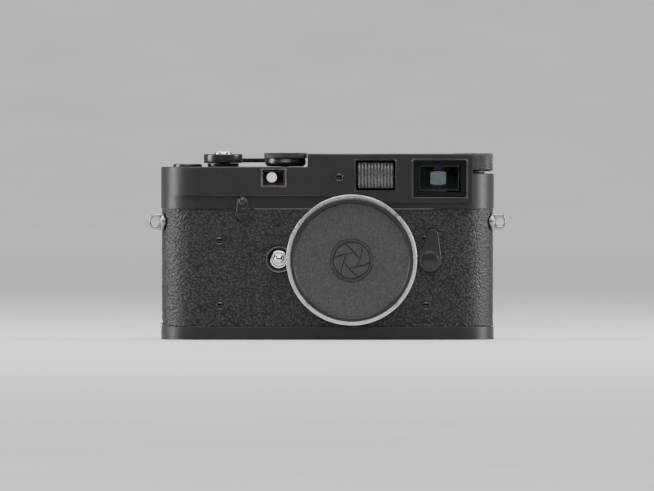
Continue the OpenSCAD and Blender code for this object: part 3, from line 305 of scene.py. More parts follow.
def glass(name, tint, coat_tint, alpha):
    """Coated glass, see-through by alpha so that it exports plainly."""
    s = Shader(name)
    smear = s.noise(140, 3)
    s.link(s.ramp(smear, [(0.3, tint), (0.75, coat_tint)]), s.shader.inputs["Base Color"])
    s.link(s.span(s.noise(60, 2), 0.03, 0.06), s.shader.inputs["Roughness"])
    s.set(Alpha=alpha, Specular_IOR_Level=0.7, Coat_Weight=0.6, Coat_Roughness=0.03)
    return s.material


def glow(name, colour, strength, rim=None):
    """A lit patch seen through the finder, softly uneven."""
    s = Shader(name)
    cloud = s.noise(700, 2)
    shade = rim or tuple(c * 0.8 for c in colour)
    tone = s.ramp(cloud, [(0.3, shade), (0.65, colour)])
    s.link(tone, s.shader.inputs["Base Color"])
    s.link(tone, s.shader.inputs["Emission Color"])
    s.set(Emission_Strength=strength, Roughness=0.5)
    return s.material


PAINT = paint("black_finish", (0.0135, 0.0102, 0.0104), (0.0175, 0.0136, 0.0138))
SMOOTH_PAINT = paint("black_controls", (0.0095, 0.0078, 0.0078), (0.013, 0.0108, 0.0108), 0.3, 0.5)
# Matte black for inner parts and printed figures, also used as painted shade inside the finder window's
# recess.
BLACK_AND_SHADE_PAINT = paint("matte_black_and_painted_recess_shade", (0.0035, 0.003, 0.003), (0.0055, 0.0047, 0.0045), 0.6, 0.2)
# Grey on bevelled edges and the release collar's rim: a painted highlight where edges catch the light.
EDGE_HIGHLIGHT_PAINT = paint("painted_edge_highlight", (0.11, 0.1, 0.095), (0.18, 0.168, 0.16), 0.3, 0.6)
# Grey on knurl points, the finder bezel's front ring and the selector boss rim: a painted highlight where they
# catch the light.
RIM_HIGHLIGHT_PAINT = paint("painted_rim_highlight", (0.05, 0.046, 0.043), (0.1, 0.094, 0.088), 0.3, 0.6)
LEATHER = leather("black_covering")
CHROME = metal("satin_chrome", (0.74, 0.74, 0.735), 0.2, (1, 1, 1), 1600)
LUG_METAL = metal("lug_metal", (0.36, 0.36, 0.355), 0.3, (1, 1, 1), 1300)
SCREW_BLACK = paint("blackened_screws", (0.005, 0.0045, 0.0045), (0.008, 0.0072, 0.0072), 0.2, 1.0)
STEEL = metal("brushed_steel", (0.5, 0.5, 0.49), 0.34, (1, 12, 1), 700)
BRASS = metal("machined_brass", (0.62, 0.47, 0.2), 0.32, (1, 1, 8), 700)
CASTING = metal("matt_casting", (0.2, 0.2, 0.205), 0.55, (1, 1, 1), 1400)
CLOTH = grained_plastic("curtain_cloth", (0.006, 0.006, 0.006), (0.016, 0.016, 0.016), 0.85, 5200, 0.08)
BLACK_PLASTIC = grained_plastic("black_plastic", (0.012, 0.012, 0.012), (0.022, 0.022, 0.022), 0.5, 2600, 0.02)
CAP_FACE = grained_plastic("cap_grain", (0.011, 0.011, 0.0125), (0.07, 0.07, 0.078), 0.66, 3300, 0.06)
CAP_RIM = grained_plastic("cap_rim", (0.008, 0.008, 0.0085), (0.014, 0.014, 0.015), 0.4, 1500, 0.01)
CLEAR = glass("clear_glass", (0.55, 0.6, 0.6), (0.7, 0.75, 0.78), 0.3)
DARK_GLASS = glass("coated_glass", (0.0015, 0.004, 0.0036), (0.003, 0.0075, 0.0066), 0.72)
WHITE_DIAL = grained_plastic("dial_white", (0.62, 0.62, 0.59), (0.72, 0.72, 0.69), 0.5, 2200, 0.004)
ENGRAVING = grained_plastic("engraving_white", (0.6, 0.6, 0.58), (0.74, 0.74, 0.72), 0.5, 2600, 0.004)


# ---------------------------------------------------------------- mesh helpers


def new_object(name, points, faces, smooth=35):
    """A mesh object from points in millimetres."""
    mesh = bpy.data.meshes.new(name)
    mesh.from_pydata([tuple(c * MM for c in p) for p in points], [], faces)
    return shade(link_object(name, mesh), smooth)


def link_object(name, mesh):
    made = bpy.data.objects.new(name, mesh)
    bpy.context.scene.collection.objects.link(made)
    return made


def from_bmesh(name, work):
    """An object made from a bmesh, which is freed."""
    mesh = bpy.data.meshes.new(name)
    work.to_mesh(mesh)
    work.free()
    return link_object(name, mesh)


def soften(mesh, angle=35):
    """Smooth shading that breaks at corners sharper than angle, in degrees."""
    for face in mesh.polygons:
        face.use_smooth = True
    mesh.set_sharp_from_angle(angle=math.radians(angle))


def shade(piece, angle=35):
    """Outward normals, and smooth shading that breaks at corners."""
    work = bmesh.new()
    work.from_mesh(piece.data)
    bmesh.ops.recalc_face_normals(work, faces=work.faces)
    work.to_mesh(piece.data)
    work.free()
    soften(piece.data, angle)
    return piece


def finish_piece(piece, body, material, stands_for=()):
    """Gives a piece its material and body, and hides the CAD nodes that it stands for."""
    if not piece.data.materials:
        piece.data.materials.append(material)
    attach(piece, body)
    if stands_for:
        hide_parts(*stands_for)
    return piece


def body_of(node):
    return frame["nodes"][node]["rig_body"]


def stand_in(piece, node, material):
    """Finishes a piece that takes the place of one CAD node, with that node's body."""
    return finish_piece(piece, body_of(node), material, [node])


def refined(node, material, edge=0.12, highlight_paint=None, picks=None, walls=False):
    """A finished copy of a CAD node: flat faces merged, and its picked edges rounded.

    picks is a list of (test, radius). Each is rounded on its own, so that a short edge in one holds back
    no other.
    """
    mesh = frame["nodes"][node].data.copy()
    mesh.materials.clear()
    mesh.materials.append(material)
    # A second material, when given, paints a highlight on the rounded edges.
    if highlight_paint:
        mesh.materials.append(highlight_paint)
    work = bmesh.new()
    work.from_mesh(mesh)
    bmesh.ops.remove_doubles(work, verts=work.verts, dist=2e-6)
    bmesh.ops.dissolve_limit(work, angle_limit=math.radians(0.4), verts=work.verts, edges=work.edges)
    for wanted, radius in picks or [(lambda e: e.calc_length() > 1.2 * MM, edge)]:
        corners = [e for e in work.edges if len(e.link_faces) == 2 and e.calc_face_angle(0) > math.radians(50)]
        bmesh.ops.bevel(work, geom=[e for e in corners if wanted(e)], offset=radius * MM,
                        offset_type="OFFSET", segments=2, profile=0.5, affect="EDGES", clamp_overlap=True,
                        material=1 if highlight_paint else -1)
    work.to_mesh(mesh)
    work.free()
    piece = shade(link_object(node + "_finished", mesh), 50)
    if walls:
        smooth_walls(piece)
    else:
        weigh_normals(piece)
    return stand_in(piece, node, material)


def off_outline(place):
    """Distance of a point, in millimetres, from the body's rounded outline as seen from above."""
    beyond = max(0.0, abs(place.x) - END_X)
    return math.hypot(beyond, place.y - MID_Y) - END_R


def smooth_walls(piece):
    """Exact normals on the body's outline, and normals weighted by area everywhere else."""
    mesh = piece.data
    places = [vert.co / MM for vert in mesh.vertices]
    around = [[] for _ in places]
    for face in mesh.polygons:
        for k in face.vertices:
            around[k].append((face.normal.copy(), face.area))
    near = math.cos(math.radians(50))
    normals = [Vector((0, 0, 1))] * len(mesh.loops)
    for face in mesh.polygons:
        upright = abs(face.normal.z) < 0.1
        wall = upright and all(abs(off_outline(places[k])) < 0.05 for k in face.vertices)
        for loop in face.loop_indices:
            k = mesh.loops[loop].vertex_index
            if wall:
                side = math.copysign(max(0.0, abs(places[k].x) - END_X), places[k].x)
                normals[loop] = Vector((side, places[k].y - MID_Y, 0)).normalized()
                continue
            total = Vector()
            for normal, area in around[k]:
                if normal.dot(face.normal) > near:
                    total += normal * area
            normals[loop] = total.normalized()
    mesh.normals_split_custom_set(normals)


def paint_light_and_shade(piece, material, test):
    """Gives the faces that pass a test a second material, used here to paint highlights and shade on them.
    test takes a face centre in millimetres.
    """
    piece.data.materials.append(material)
    last = len(piece.data.materials) - 1
    for face in piece.data.polygons:
        if test(face.center / MM):
            face.material_index = last


def weigh_normals(piece):
    """Keeps big flat faces flat where rounded edges meet them."""
    made = piece.modifiers.new("flat faces", "WEIGHTED_NORMAL")
    made.keep_sharp = True
    made.weight = 80
    return piece


def kept_below(node, z, material, name):
    """The part of a CAD node below a height: the shafts and gears under a finished control."""
    mesh = frame["nodes"][node].data.copy()
    mesh.materials.clear()
    work = bmesh.new()
    work.from_mesh(mesh)
    bmesh.ops.remove_doubles(work, verts=work.verts, dist=2e-6)
    everything = work.verts[:] + work.edges[:] + work.faces[:]
    bmesh.ops.bisect_plane(work, geom=everything, plane_co=(0, 0, z * MM), plane_no=UP, clear_outer=True)
    work.to_mesh(mesh)
    work.free()
    return finish_piece(shade(link_object(name, mesh)), body_of(node), material)


def dress(material, *nodes):
    """Gives CAD nodes that keep their own shape a material."""
    for node in nodes:
        mesh = frame["nodes"][node].data
        mesh.materials.clear()
        mesh.materials.append(material)
        soften(mesh)


def turn_frame(axis):
    """Three directions for a lathe: two across and one along the axis."""
    along = Vector(axis).normalized()
    across = Vector((1, 0, 0)) if abs(along.x) < 0.9 else Vector((0, 1, 0))
    other = along.cross(across)
    return across, other, along


def lathe(name, profile, centre, axis, steps=96, shape=None, smooth=35):
    """Revolves (radius, height) pairs about an axis. shape(radius, height, angle) may move the radius."""
    across, other, along = turn_frame(axis)
    centre = Vector(centre)
    points = []
    rows = []
    for radius, height in profile:
        if radius < 1e-6:
            rows.append([len(points)])
            points.append(centre + along * height)
            continue
        row = []
        for k in range(steps):
            angle = TAU * k / steps
            r = shape(radius, height, angle) if shape else radius
            row.append(len(points))
            points.append(
                centre + across * (r * math.cos(angle)) + other * (r * math.sin(angle)) + along * height)
        rows.append(row)
    faces = []
    for low, high in zip(rows, rows[1:]):
        for k in range(steps):
            n = (k + 1) % steps
            if len(low) == 1 and len(high) > 1:
                faces.append((low[0], high[k], high[n]))
            elif len(high) == 1 and len(low) > 1:
                faces.append((low[k], low[n], high[0]))
            elif len(low) > 1:
                faces.append((low[k], low[n], high[n], high[k]))
    if len(rows[0]) > 1:
        faces.append(tuple(reversed(rows[0])))
    if len(rows[-1]) > 1:
        faces.append(tuple(rows[-1]))
    return new_object(name, points, faces, smooth)


def rod(name, radius, length, start, axis, steps=32):
    """A plain cylinder from start along an axis."""
    return lathe(name, [(0.0, 0.0), (radius, 0.0), (radius, length), (0.0, length)], start, axis, steps)


def rounded_rect(width, height, radius, steps=6):
    """Points round a rectangle with arc corners, counter-clockwise, centred on the origin."""
    out = []
    for corner in range(4):
        cx = (width / 2 - radius) * (1 if corner in (0, 3) else -1)
        cz = (height / 2 - radius) * (1 if corner in (0, 1) else -1)
        for k in range(steps + 1):
            angle = math.radians(90 * corner + 90 * k / steps)
            out.append((cx + radius * math.cos(angle), cz + radius * math.sin(angle)))
    return out


def loft(name, outlines, smooth=35, caps=True):
    """Joins outlines, each a list of 3D points of equal count. Without caps the last joins the first."""
    count = len(outlines[0])
    points = [p for outline in outlines for p in outline]
    faces = []
    for level in range(len(outlines) - 1 + (0 if caps else 1)):
        low = level * count
        high = ((level + 1) % len(outlines)) * count
        for k in range(count):
            n = (k + 1) % count
            faces.append((low + k, low + n, high + n, high + k))
    if caps:
        faces.append(tuple(reversed(range(count))))
        faces.append(tuple(range(len(points) - count, len(points))))
    return new_object(name, points, faces, smooth)


def front_frame(name, middle, size, steps):
    """A window frame seen from the front, from outside to inside and round.

    steps are (less wide, less high, corner, y), where less is what comes off the size.
    """
    outlines = [[(middle.x + x, y, middle.z + z) for x, z in rounded_rect(size.x - wide, size.z - high, r)]
                for wide, high, r, y in steps]
    return loft(name, outlines, caps=False)


def arc(centre, radius, start, end, steps):
    """Points on an arc, angles in degrees."""
    angles = [math.radians(start + (end - start) * k / steps) for k in range(steps + 1)]
    return [(centre[0] + radius * math.cos(a), centre[1] + radius * math.sin(a)) for a in angles]


def inset(outline, by):
    """A counter-clockwise outline moved inward."""
    out = []
    for k, here in enumerate(outline):
        here = Vector(here)
        before = (here - Vector(outline[k - 1])).normalized()
        after = (Vector(outline[(k + 1) % len(outline)]) - here).normalized()
        normal = Vector((-before.y - after.y, before.x + after.x)).normalized()
        spread = max(0.5, normal.dot(Vector((-before.y, before.x))))
        out.append(tuple(here + normal * by / spread))
    return out


def plate(name, outline, low, high, rounding, place, steps=4):
    """A flat plate over a counter-clockwise outline, both rims rounded. place(u, v, h) gives the point."""
    rows = []
    for k in range(steps + 1):
        turn = math.pi / 2 * k / steps
        rows.append((rounding * (1 - math.sin(turn)), low + rounding * (1 - math.cos(turn))))
    for k in range(steps + 1):
        turn = math.pi / 2 * k / steps
        rows.append((rounding * (1 - math.cos(turn)), high - rounding * (1 - math.sin(turn))))
    outlines = [[place(u, v, h) for u, v in inset(outline, by)] for by, h in rows]
    return weigh_normals(loft(name, outlines, 50))


def facing_front(u, v, h):
    """Side position, height, and distance towards the front."""
    return (u, -h, v)


def facing_up(u, v, h):
    return (u, v, h)


def two_circles(c0, r0, c1, r1, steps=28):
    """The outline round two circles, counter-clockwise."""
    line = math.degrees(math.atan2(c1[1] - c0[1], c1[0] - c0[0]))
    lean = math.degrees(math.acos((r0 - r1) / math.dist(c0, c1)))
    return arc(c1, r1, line - lean, line + lean, steps) + arc(c0, r0, line + lean, line - lean + 360, steps)


def joined(name, pieces):
    """One object made of several."""
    work = bmesh.new()
    for piece in pieces:
        work.from_mesh(piece.data)
    made = from_bmesh(name, work)
    for piece in pieces:
        old = piece.data
        bpy.data.objects.remove(piece)
        bpy.data.meshes.remove(old)
    soften(made.data, 50)
    return weigh_normals(made)


def slotted_head(x, z, back_y, front_y, radius, slot, depth, rounding):
    """A screw head facing the front: a floor with two halves standing on it."""
    pieces = [rod("floor", radius - 0.05, front_y + depth - back_y, (x, back_y, z), BACK, 48)]
    lean = math.degrees(math.asin(slot / 2 / radius))
    for side in (0, 180):
        outline = arc((x, z), radius, side + lean, side + 180 - lean, 24)
        pieces.append(plate("half", outline, -back_y, -front_y, rounding, facing_front, 3))
    return pieces


# ---------------------------------------------------------------- covering

GRID = 0.26
GRAIN_DEPTH = 0.3
SHEET_THICK = 0.6
RIM_REACH = 0.3
RIM_DROP = 0.22


def grain(u, v):
    """Height of the covering's grain at a place on the unrolled sheet, 0 to 1."""
    drift = noise.noise((u * 0.21, v * 0.21, 7.3))
    wobble = Vector((noise.noise((u * 0.9, v * 0.9, 1.7)), noise.noise((u * 0.9, v * 0.9, 4.1)), 0))
    place = Vector((u / 1.3, v / 0.76, 0)) + 0.4 * wobble
    gaps = noise.voronoi(place)[0]
    crease = min(1.0, max(0.0, (gaps[1] - gaps[0]) / (0.26 + 0.08 * drift)))
    dome = 1 - 0.55 * min(1.0, gaps[0])
    fine = noise.noise((u * 2.6, v * 2.6, 9.9))
    return crease * crease * (3 - 2 * crease) * dome * 0.86 + 0.12 * fine


def sheet_mesh(name, width, height, holes, place):
    """A grained sheet. place(u, v) gives the point and outward normal; holes are (u, v, radius)."""
    nu = max(2, round(width / GRID))
    nv = max(2, round(height / GRID))
    uv = [[width * i / nu, height * j / nv] for j in range(nv + 1) for i in range(nu + 1)]
    faces = []
    for j in range(nv):
        for i in range(nu):
            a = j * (nu + 1) + i
            cu = width * (i + 0.5) / nu
            cv = height * (j + 0.5) / nv
            if all((cu - h[0]) ** 2 + (cv - h[1]) ** 2 > h[2] ** 2 for h in holes):
                faces.append((a, a + 1, a + nu + 2, a + nu + 1))
    for hu, hv, hr in holes:
        for point in uv:
            du = point[0] - hu
            dv = point[1] - hv
            away = math.hypot(du, dv)
            if 1e-9 < away < hr:
                point[0] = hu + du * hr / away
                point[1] = hv + dv * hr / away
    work = bmesh.new()
    relief = work.verts.layers.float.new("grain")
    verts = []
    normals = []
    for u, v in uv:
        point, normal = place(u, v)
        rim = min(u, v, width - u, height - v, *[math.hypot(u - h[0], v - h[1]) - h[2] for h in holes])
        rim = max(0.0, rim)
        # height now holds the grain, so from here on nearly every point counts as rim and sits RIM_DROP lower.
        # The covering's level was judged that way, so it stays.
        height = grain(u, v)
        drop = GRAIN_DEPTH * (1 - height)
        if rim < RIM_REACH:
            drop += RIM_DROP * (1 - math.sqrt(max(0.0, 1 - (1 - rim / RIM_REACH) ** 2)))
        verts.append(work.verts.new((point - normal * drop) * MM))
        verts[-1][relief] = height
        normals.append(normal)
    work.verts.index_update()
    for face in faces:
        work.faces.new([verts[k] for k in face])
    lone = [v for v in work.verts if not v.link_faces]
    bmesh.ops.delete(work, geom=lone, context="VERTS")
    keep = {v: n for v, n in zip(verts, normals) if v.is_valid}
    rims = [e for e in work.edges if e.is_boundary]
    made = bmesh.ops.extrude_edge_only(work, edges=rims)["geom"]
    fresh = [v for v in made if isinstance(v, bmesh.types.BMVert)]
    for vert in fresh:
        near = [e.other_vert(vert) for e in vert.link_edges]
        source = next(n for n in near if n in keep)
        vert.co = vert.co - keep[source] * (SHEET_THICK * MM)
    piece = from_bmesh(name, work)
    soften(piece.data, 60)
    return piece


def perimeter(start, end):
    """The body's outline from above: from the back at x = start, round the front, to the back at x = end."""
    right = END_X - start
    bend = math.pi * END_R
    front = 2 * END_X
    left = END_X + end
    total = right + bend + front + bend + left

    def at(u):
        if u < right:
            return Vector((start + u, BACK_Y, 0)), Vector((0, 1, 0))
        u -= right
        if u < bend:
            angle = math.pi / 2 - u / END_R
            normal = Vector((math.cos(angle), math.sin(angle), 0))
            return Vector((END_X, MID_Y, 0)) + normal * END_R, normal
        u -= bend
        if u < front:
            return Vector((END_X - u, FACE_Y, 0)), Vector((0, -1, 0))
        u -= front
        if u < bend:
            angle = -math.pi / 2 - u / END_R
            normal = Vector((math.cos(angle), math.sin(angle), 0))
            return Vector((-END_X, MID_Y, 0)) + normal * END_R, normal
        u -= bend
        return Vector((-END_X + u, BACK_Y, 0)), Vector((0, 1, 0))

    def along_front(x):
        return right + bend + END_X - x

    def along_end(side, y):
        """Distance to a place on a rounded end, at depth y."""
        turn = END_R * math.asin((MID_Y - y) / END_R)
        middle = right + bend / 2
        return middle + turn if side > 0 else right + bend + front + bend / 2 - turn

    return total, at, along_front, along_end


def make_covering():
    door_low, door_high = box_mm("door_covering")
    gap = 0.3
    total, at, along_front, along_end = perimeter(door_high.x + gap, door_low.x - gap)
    low = SKIN_LOW.z
    holes = [(along_front(LENS.x), LENS.z - low, size_mm("lens_mount_ring").x / 2 - 0.6)]
    for spot in loose_centres("front_screws"):
        holes.append((along_front(spot.x), spot.z - low, 1.9))
    release = centre_mm("lens_release_guard")
    holes.append((along_front(release.x), release.z - low, 4.4))
    for side, lug in ((-1, "strap_lug_left"), (1, "strap_lug_right")):
        spot = centre_mm(lug)
        holes.append((along_end(side, spot.y), spot.z - low, 3.75))
    catch = centre_mm("base_catch_pin")
    holes.append((along_end(-1, catch.y), catch.z - low, size_mm("base_catch_pin").z / 2 + 0.25))

    def place(u, v):
        point, normal = at(u)
        return point + Vector((0, 0, low + v)), normal

    piece = sheet_mesh("grained_covering", total, SKIN_HIGH.z - low, holes, place)
    stand_in(piece, "front_covering", LEATHER)


def make_door_covering():
    low, high = box_mm("door_covering")
    dial = centre_mm("film_speed_dial")
    reach = size_mm("film_speed_dial").x / 2 + 0.35
    holes = [(dial.x - low.x, dial.z - low.z, reach)]

    def place(u, v):
        return Vector((low.x + u, high.y, low.z + v)), Vector((0, 1, 0))

    piece = sheet_mesh("grained_door_covering", high.x - low.x, high.z - low.z, holes, place)
    stand_in(piece, "door_covering", LEATHER)


# ---------------------------------------------------------------- lens mount and cap


def teeth(count, depth, band):
    """A lathe shape with straight teeth where the height lies inside band."""

    def shape(radius, height, angle):
        if not band[0] <= height <= band[1]:
            return radius
        wave = abs(2 * ((angle * count / TAU) % 1.0) - 1)
        return radius - depth * min(1.0, 1.6 * wave)

    return shape


def make_body_cap():
    low, _, _, outer = round_part("body_cap")
    recess = 1.05
    lip = outer - 2.0
    back = -3.9
    profile = [
        (0.0, -recess), (9.0, -recess), (lip - 0.35, -recess), (lip - 0.1, -recess + 0.08),
        (lip + 0.05, -recess + 0.35), (lip + 0.12, -0.22), (lip + 0.35, -0.04), (lip + 0.8, 0.0),
        (outer - 0.75, 0.0), (outer - 0.45, -0.12), (outer - 0.3, -0.35), (outer - 0.12, -0.6),
        (outer, -0.95),
        (outer, -1.7), (outer, -2.6), (outer, -3.3), (outer - 0.25, back), (outer - 3.7, back),
    ]
    count = 132
    piece = lathe("body_cap_shell", profile, (LENS.x, low.y, LENS.z), FRONT, count * 6,
                  teeth(count, 0.42, (-3.4, -0.3)), 30)
    piece.data.materials.append(CAP_RIM)
    piece.data.materials.append(CAP_FACE)
    reach = (lip - 0.3) * MM
    for patch in piece.data.polygons:
        centre = patch.center
        away = math.hypot(centre.x - LENS.x * MM, centre.z - LENS.z * MM)
        if away < reach and centre.y < (low.y + 2) * MM:
            patch.material_index = 1
    stand_in(piece, "body_cap", CAP_RIM)
    make_cap_insert(low)
    make_cap_emblem(low.y + recess)


def make_cap_insert(low):
    """The cap's bayonet sleeve, with its four tabs, seen when the cap is off."""
    sleeve, inner, tab_r = 21.9, 20.3, 23.2
    start, end = -3.9, -6.9
    profile = [(sleeve, start), (sleeve, end + 0.3), (sleeve - 0.3, end), (inner + 0.3, end),
               (inner, end + 0.3),
               (inner, -2.5), (0.0, -2.5)]
    piece = lathe("body_cap_sleeve", profile, (LENS.x, low.y, LENS.z), FRONT, 160)
    tabs = bmesh.new()
    tabs.from_mesh(piece.data)
    steps = 12
    section = ((sleeve - 0.2, 5.7), (tab_r, 5.7), (tab_r, 6.9), (sleeve - 0.2, 6.9))
    for k in range(4):
        ring = []
        for i in range(steps + 1):
            angle = math.radians(71 + 90 * k + 38 * i / steps)
            for r, y in section:
                place = Vector((LENS.x + r * math.cos(angle), low.y + y, LENS.z + r * math.sin(angle)))
                ring.append(tabs.verts.new(place * MM))
        for i in range(steps):
            for j in range(4):
                a, b = 4 * i + j, 4 * i + (j + 1) % 4
                tabs.faces.new((ring[a], ring[b], ring[b + 4], ring[a + 4]))
        tabs.faces.new(ring[:4])
        tabs.faces.new(ring[-4:])
    tabs.to_mesh(piece.data)
    tabs.free()
    shade(piece)
    finish_piece(piece, "body_cap", BLACK_PLASTIC)


def make_cap_emblem(face_y):
    """A plain six-blade iris in low relief: two rings and six blade edges."""
    ring_r, opening, proud, width = 7.6, 3.1, 0.22, 0.5
    section = ((-0.5, -0.05), (-0.3, 1.0), (0.3, 1.0), (0.5, -0.05))
    work = bmesh.new()

    def ridge(points, wide, closed=False):
        """A raised line along points, roof-shaped in section."""
        rows = []
        last = len(points) - 1
        for k, point in enumerate(points):
            before = points[k - 1 if closed else max(0, k - 1)]
            after = points[(k + 1) % len(points) if closed else min(last, k + 1)]
            along = (Vector(after) - Vector(before)).normalized()
            side = Vector((-along.y, along.x)) * wide
            if not closed and k in (0, last):
                side *= 0.55
            row = []
            for offset, height in section:
                flat = Vector(point) + side * offset
                row.append(work.verts.new(Vector((flat.x, face_y - height * proud, flat.y)) * MM))
            rows.append(row)
        for low, high in zip(rows, rows[1:] + rows[:1] if closed else rows[1:]):
            for j in range(3):
                work.faces.new((low[j], low[j + 1], high[j + 1], high[j]))
        if not closed:
            work.faces.new(rows[0])
            work.faces.new(rows[-1])

    for radius, wide in ((ring_r, width), (ring_r + 1.2, width * 0.5)):
        ridge(arc((LENS.x, LENS.z), radius, 0, 357, 119), wide, closed=True)
    for k in range(6):
        corner, onward = (Vector(p) for p in arc((0, 0), opening, 60 * k + 15, 60 * k + 75, 1))
        direction = (onward - corner).normalized()
        reach = 0.0
        while (corner + direction * reach).length < ring_r:
            reach += 0.05
        points = []
        for i in range(9):
            t = i / 8
            bend = Vector((-direction.y, direction.x)) * (-0.55 * math.sin(math.pi * t))
            point = corner + direction * reach * t + bend
            points.append((LENS.x + point.x, LENS.z + point.y))
        ridge(points, width * 0.8)
    finish_piece(shade(from_bmesh("cap_emblem", work), 25), "body_cap", CAP_RIM)


def on_outer_rim(centre, radius, axis_y=True):
    """A test for edges on a rim of that radius round an axis along Y, or up."""

    def test(edge):
        for vert in edge.verts:
            place = vert.co / MM
            away = math.hypot(place.x - centre.x, place.z - centre.z if axis_y else place.y - centre.y)
            if abs(away - radius) > 0.06:
                return False
        return True

    return test


def make_collar(node, middle):
    """A fixed collar round an upright axis, its outer rim rounded."""
    refined(node, SMOOTH_PAINT, picks=[(on_outer_rim(middle, size_mm(node).x / 2, False), 0.15)])


def make_mount():
    ring = turned("mount_ring_metal", (0.78, 0.78, 0.775), 0.2, LENS, (1, 0, 1))
    outer = size_mm("lens_mount_ring").x / 2
    refined("lens_mount_ring", ring, picks=[(on_outer_rim(LENS, outer), 0.2)])
    refined("mount_screws", STEEL, 0.05)
    low, high, middle, radius = round_part("lens_release_guard")
    inner = 4.2
    depth = high.y - low.y
    profile = [(inner, 0.05), (inner, -0.3), (4.35, -0.55), (4.75, -0.6), (radius - 0.35, -0.55),
               (radius - 0.1, -0.35), (radius, 0.0)]
    profile = [(inner, 0.0), *[(r, depth + h * 0.9) for r, h in profile], (radius, 0.0), (inner, 0.0)]
    guard = lathe("lens_release_collar", profile, (middle.x, high.y, middle.z), FRONT, 96)
    stand_in(guard, "lens_release_guard", SMOOTH_PAINT)
    # Painted highlight on the collar's outer rim.
    paint_light_and_shade(guard, EDGE_HIGHLIGHT_PAINT, lambda p: math.hypot(p.x - middle.x, p.z - middle.z) > radius - 0.3)
    low, high, middle, radius = round_part("lens_release_button")
    profile = [
        (0.0, 0.0), (0.7, -0.06), (1.3, -0.22), (1.75, -0.55), (1.9, -0.95), (1.95, -1.35), (2.25, -1.5),
        (2.7, -1.52), (3.0, -1.46), (3.3, -1.5), (radius - 0.12, -1.62), (radius, -1.85), (radius, -2.3),
        (radius - 0.1, -2.4), (1.8, -2.4), (1.8, low.y - high.y),
    ]
    piece = lathe("lens_release_button_turned", profile, (middle.x, low.y, middle.z), FRONT, 72)
    stand_in(piece, "lens_release_button", CHROME)


# ---------------------------------------------------------------- controls on the top cover


def diamond(count, pitch, depth, band):
    """A lathe shape with a diamond knurl where the height lies inside band."""
    flat = 0.6

    def shape(radius, height, angle):
        if not band[0] <= height <= band[1]:
            return radius
        a = angle * count / TAU
        b = height / pitch
        u = 1 - abs(2 * ((a + b) % 1.0) - 1)
        v = 1 - abs(2 * ((a - b) % 1.0) - 1)
        return radius - depth * (1 - min(flat, min(u, v)) / flat)

    return shape


def knurl_tops(middle, reach, low_z, high_z):
    """A test for faces on the points of a knurl round an upright axis."""
    return lambda p: low_z < p.z < high_z and math.hypot(p.x - middle.x, p.y - middle.y) > reach


def make_rewind_knob():
    low, high, middle, radius = round_part("rewind_knob")
    tall = high.z - low.z
    rows = 30
    start, stop = 0.75, tall - 0.55
    profile = [(2.56, 0.0), (radius - 0.9, 0.0), (radius - 0.5, 0.15), (radius - 0.22, 0.45)]
    profile += [(radius, start + (stop - start) * k / rows) for k in range(rows + 1)]
    profile += [(radius - 0.25, tall - 0.3), (radius - 0.6, tall), (radius - 1.4, tall),
                (radius - 1.7, tall - 0.28),
                (2.6, tall - 0.32), (2.3, tall - 0.1), (0.0, tall - 0.1)]
    count = 54
    piece = lathe("rewind_knob_knurled", profile, (middle.x, middle.y, low.z), UP, count * 6,
                  diamond(count, 1.05, 0.32, (start - 0.01, stop + 0.01)), 28)
    stand_in(piece, "rewind_knob", SMOOTH_PAINT)
    # Painted highlight on the knurl points.
    paint_light_and_shade(piece, RIM_HIGHLIGHT_PAINT, knurl_tops(middle, radius - 0.09, low.z + start, low.z + stop))
    arrow_mark("rewind_arrow", middle, high.z - 0.3, "rewind_knob")
    make_collar("rewind_collar", middle)


def arrow_mark(name, middle, top, body):
    """A painted turning arrow: an arc with a head."""
    radius, half, lift = 4.6, 0.25, 0.03
    start, sweep, steps = 20, 220, 24
    work = bmesh.new()

    def corner(r, degrees):
        angle = math.radians(degrees)
        place = Vector((middle.x + r * math.cos(angle), middle.y + r * math.sin(angle), top + lift))
        return work.verts.new(place * MM)

    rings = [[corner(r, start + sweep * k / steps) for r in (radius - half, radius + half)]
             for k in range(steps + 1)]
    for low, high in zip(rings, rings[1:]):
        work.faces.new((low[0], low[1], high[1], high[0]))
    end = start + sweep
    work.faces.new([corner(radius - 1.0, end), corner(radius + 1.0, end), corner(radius, end + 16)])
    bmesh.ops.solidify(work, geom=work.faces[:], thickness=0.04 * MM)
    finish_piece(shade(from_bmesh(name, work)), body, ENGRAVING)


def around(middle, radius, first, step, count, turn):
    """Places for figures round a dial, each (x, y, turn). The arguments' angles are in degrees."""
    angles = [math.radians(first + step * k) for k in range(count)]
    return [(middle.x + radius * math.cos(a), middle.y + radius * math.sin(a), a + math.radians(turn))
            for a in angles]


def digits(name, words, places, size, lift_z, body):
    """Engraved figures laid flat, each at (x, y, turn)."""
    depth = 0.03
    made = []
    for word, (x, y, turn) in zip(words, places):
        curve = bpy.data.curves.new(name, "FONT")
        curve.body = word
        curve.size = size * MM
        curve.align_x = "CENTER"
        curve.align_y = "CENTER"
        curve.extrude = depth * MM / 2
        curve.resolution_u = 2
        item = bpy.data.objects.new(name, curve)
        bpy.context.scene.collection.objects.link(item)
        item.matrix_world = Matrix.Translation(Vector((x, y, lift_z)) * MM) @ Matrix.Rotation(turn, 4, "Z")
        made.append(item)
    bpy.context.view_layer.update()
    work = bmesh.new()
    for item in made:
        flat = item.to_mesh()
        flat.transform(item.matrix_world)
        work.from_mesh(flat)
        item.to_mesh_clear()
    for item in made:
        curve = item.data
        bpy.data.objects.remove(item)
        bpy.data.curves.remove(curve)
    return finish_piece(shade(from_bmesh(name, work)), body, ENGRAVING)


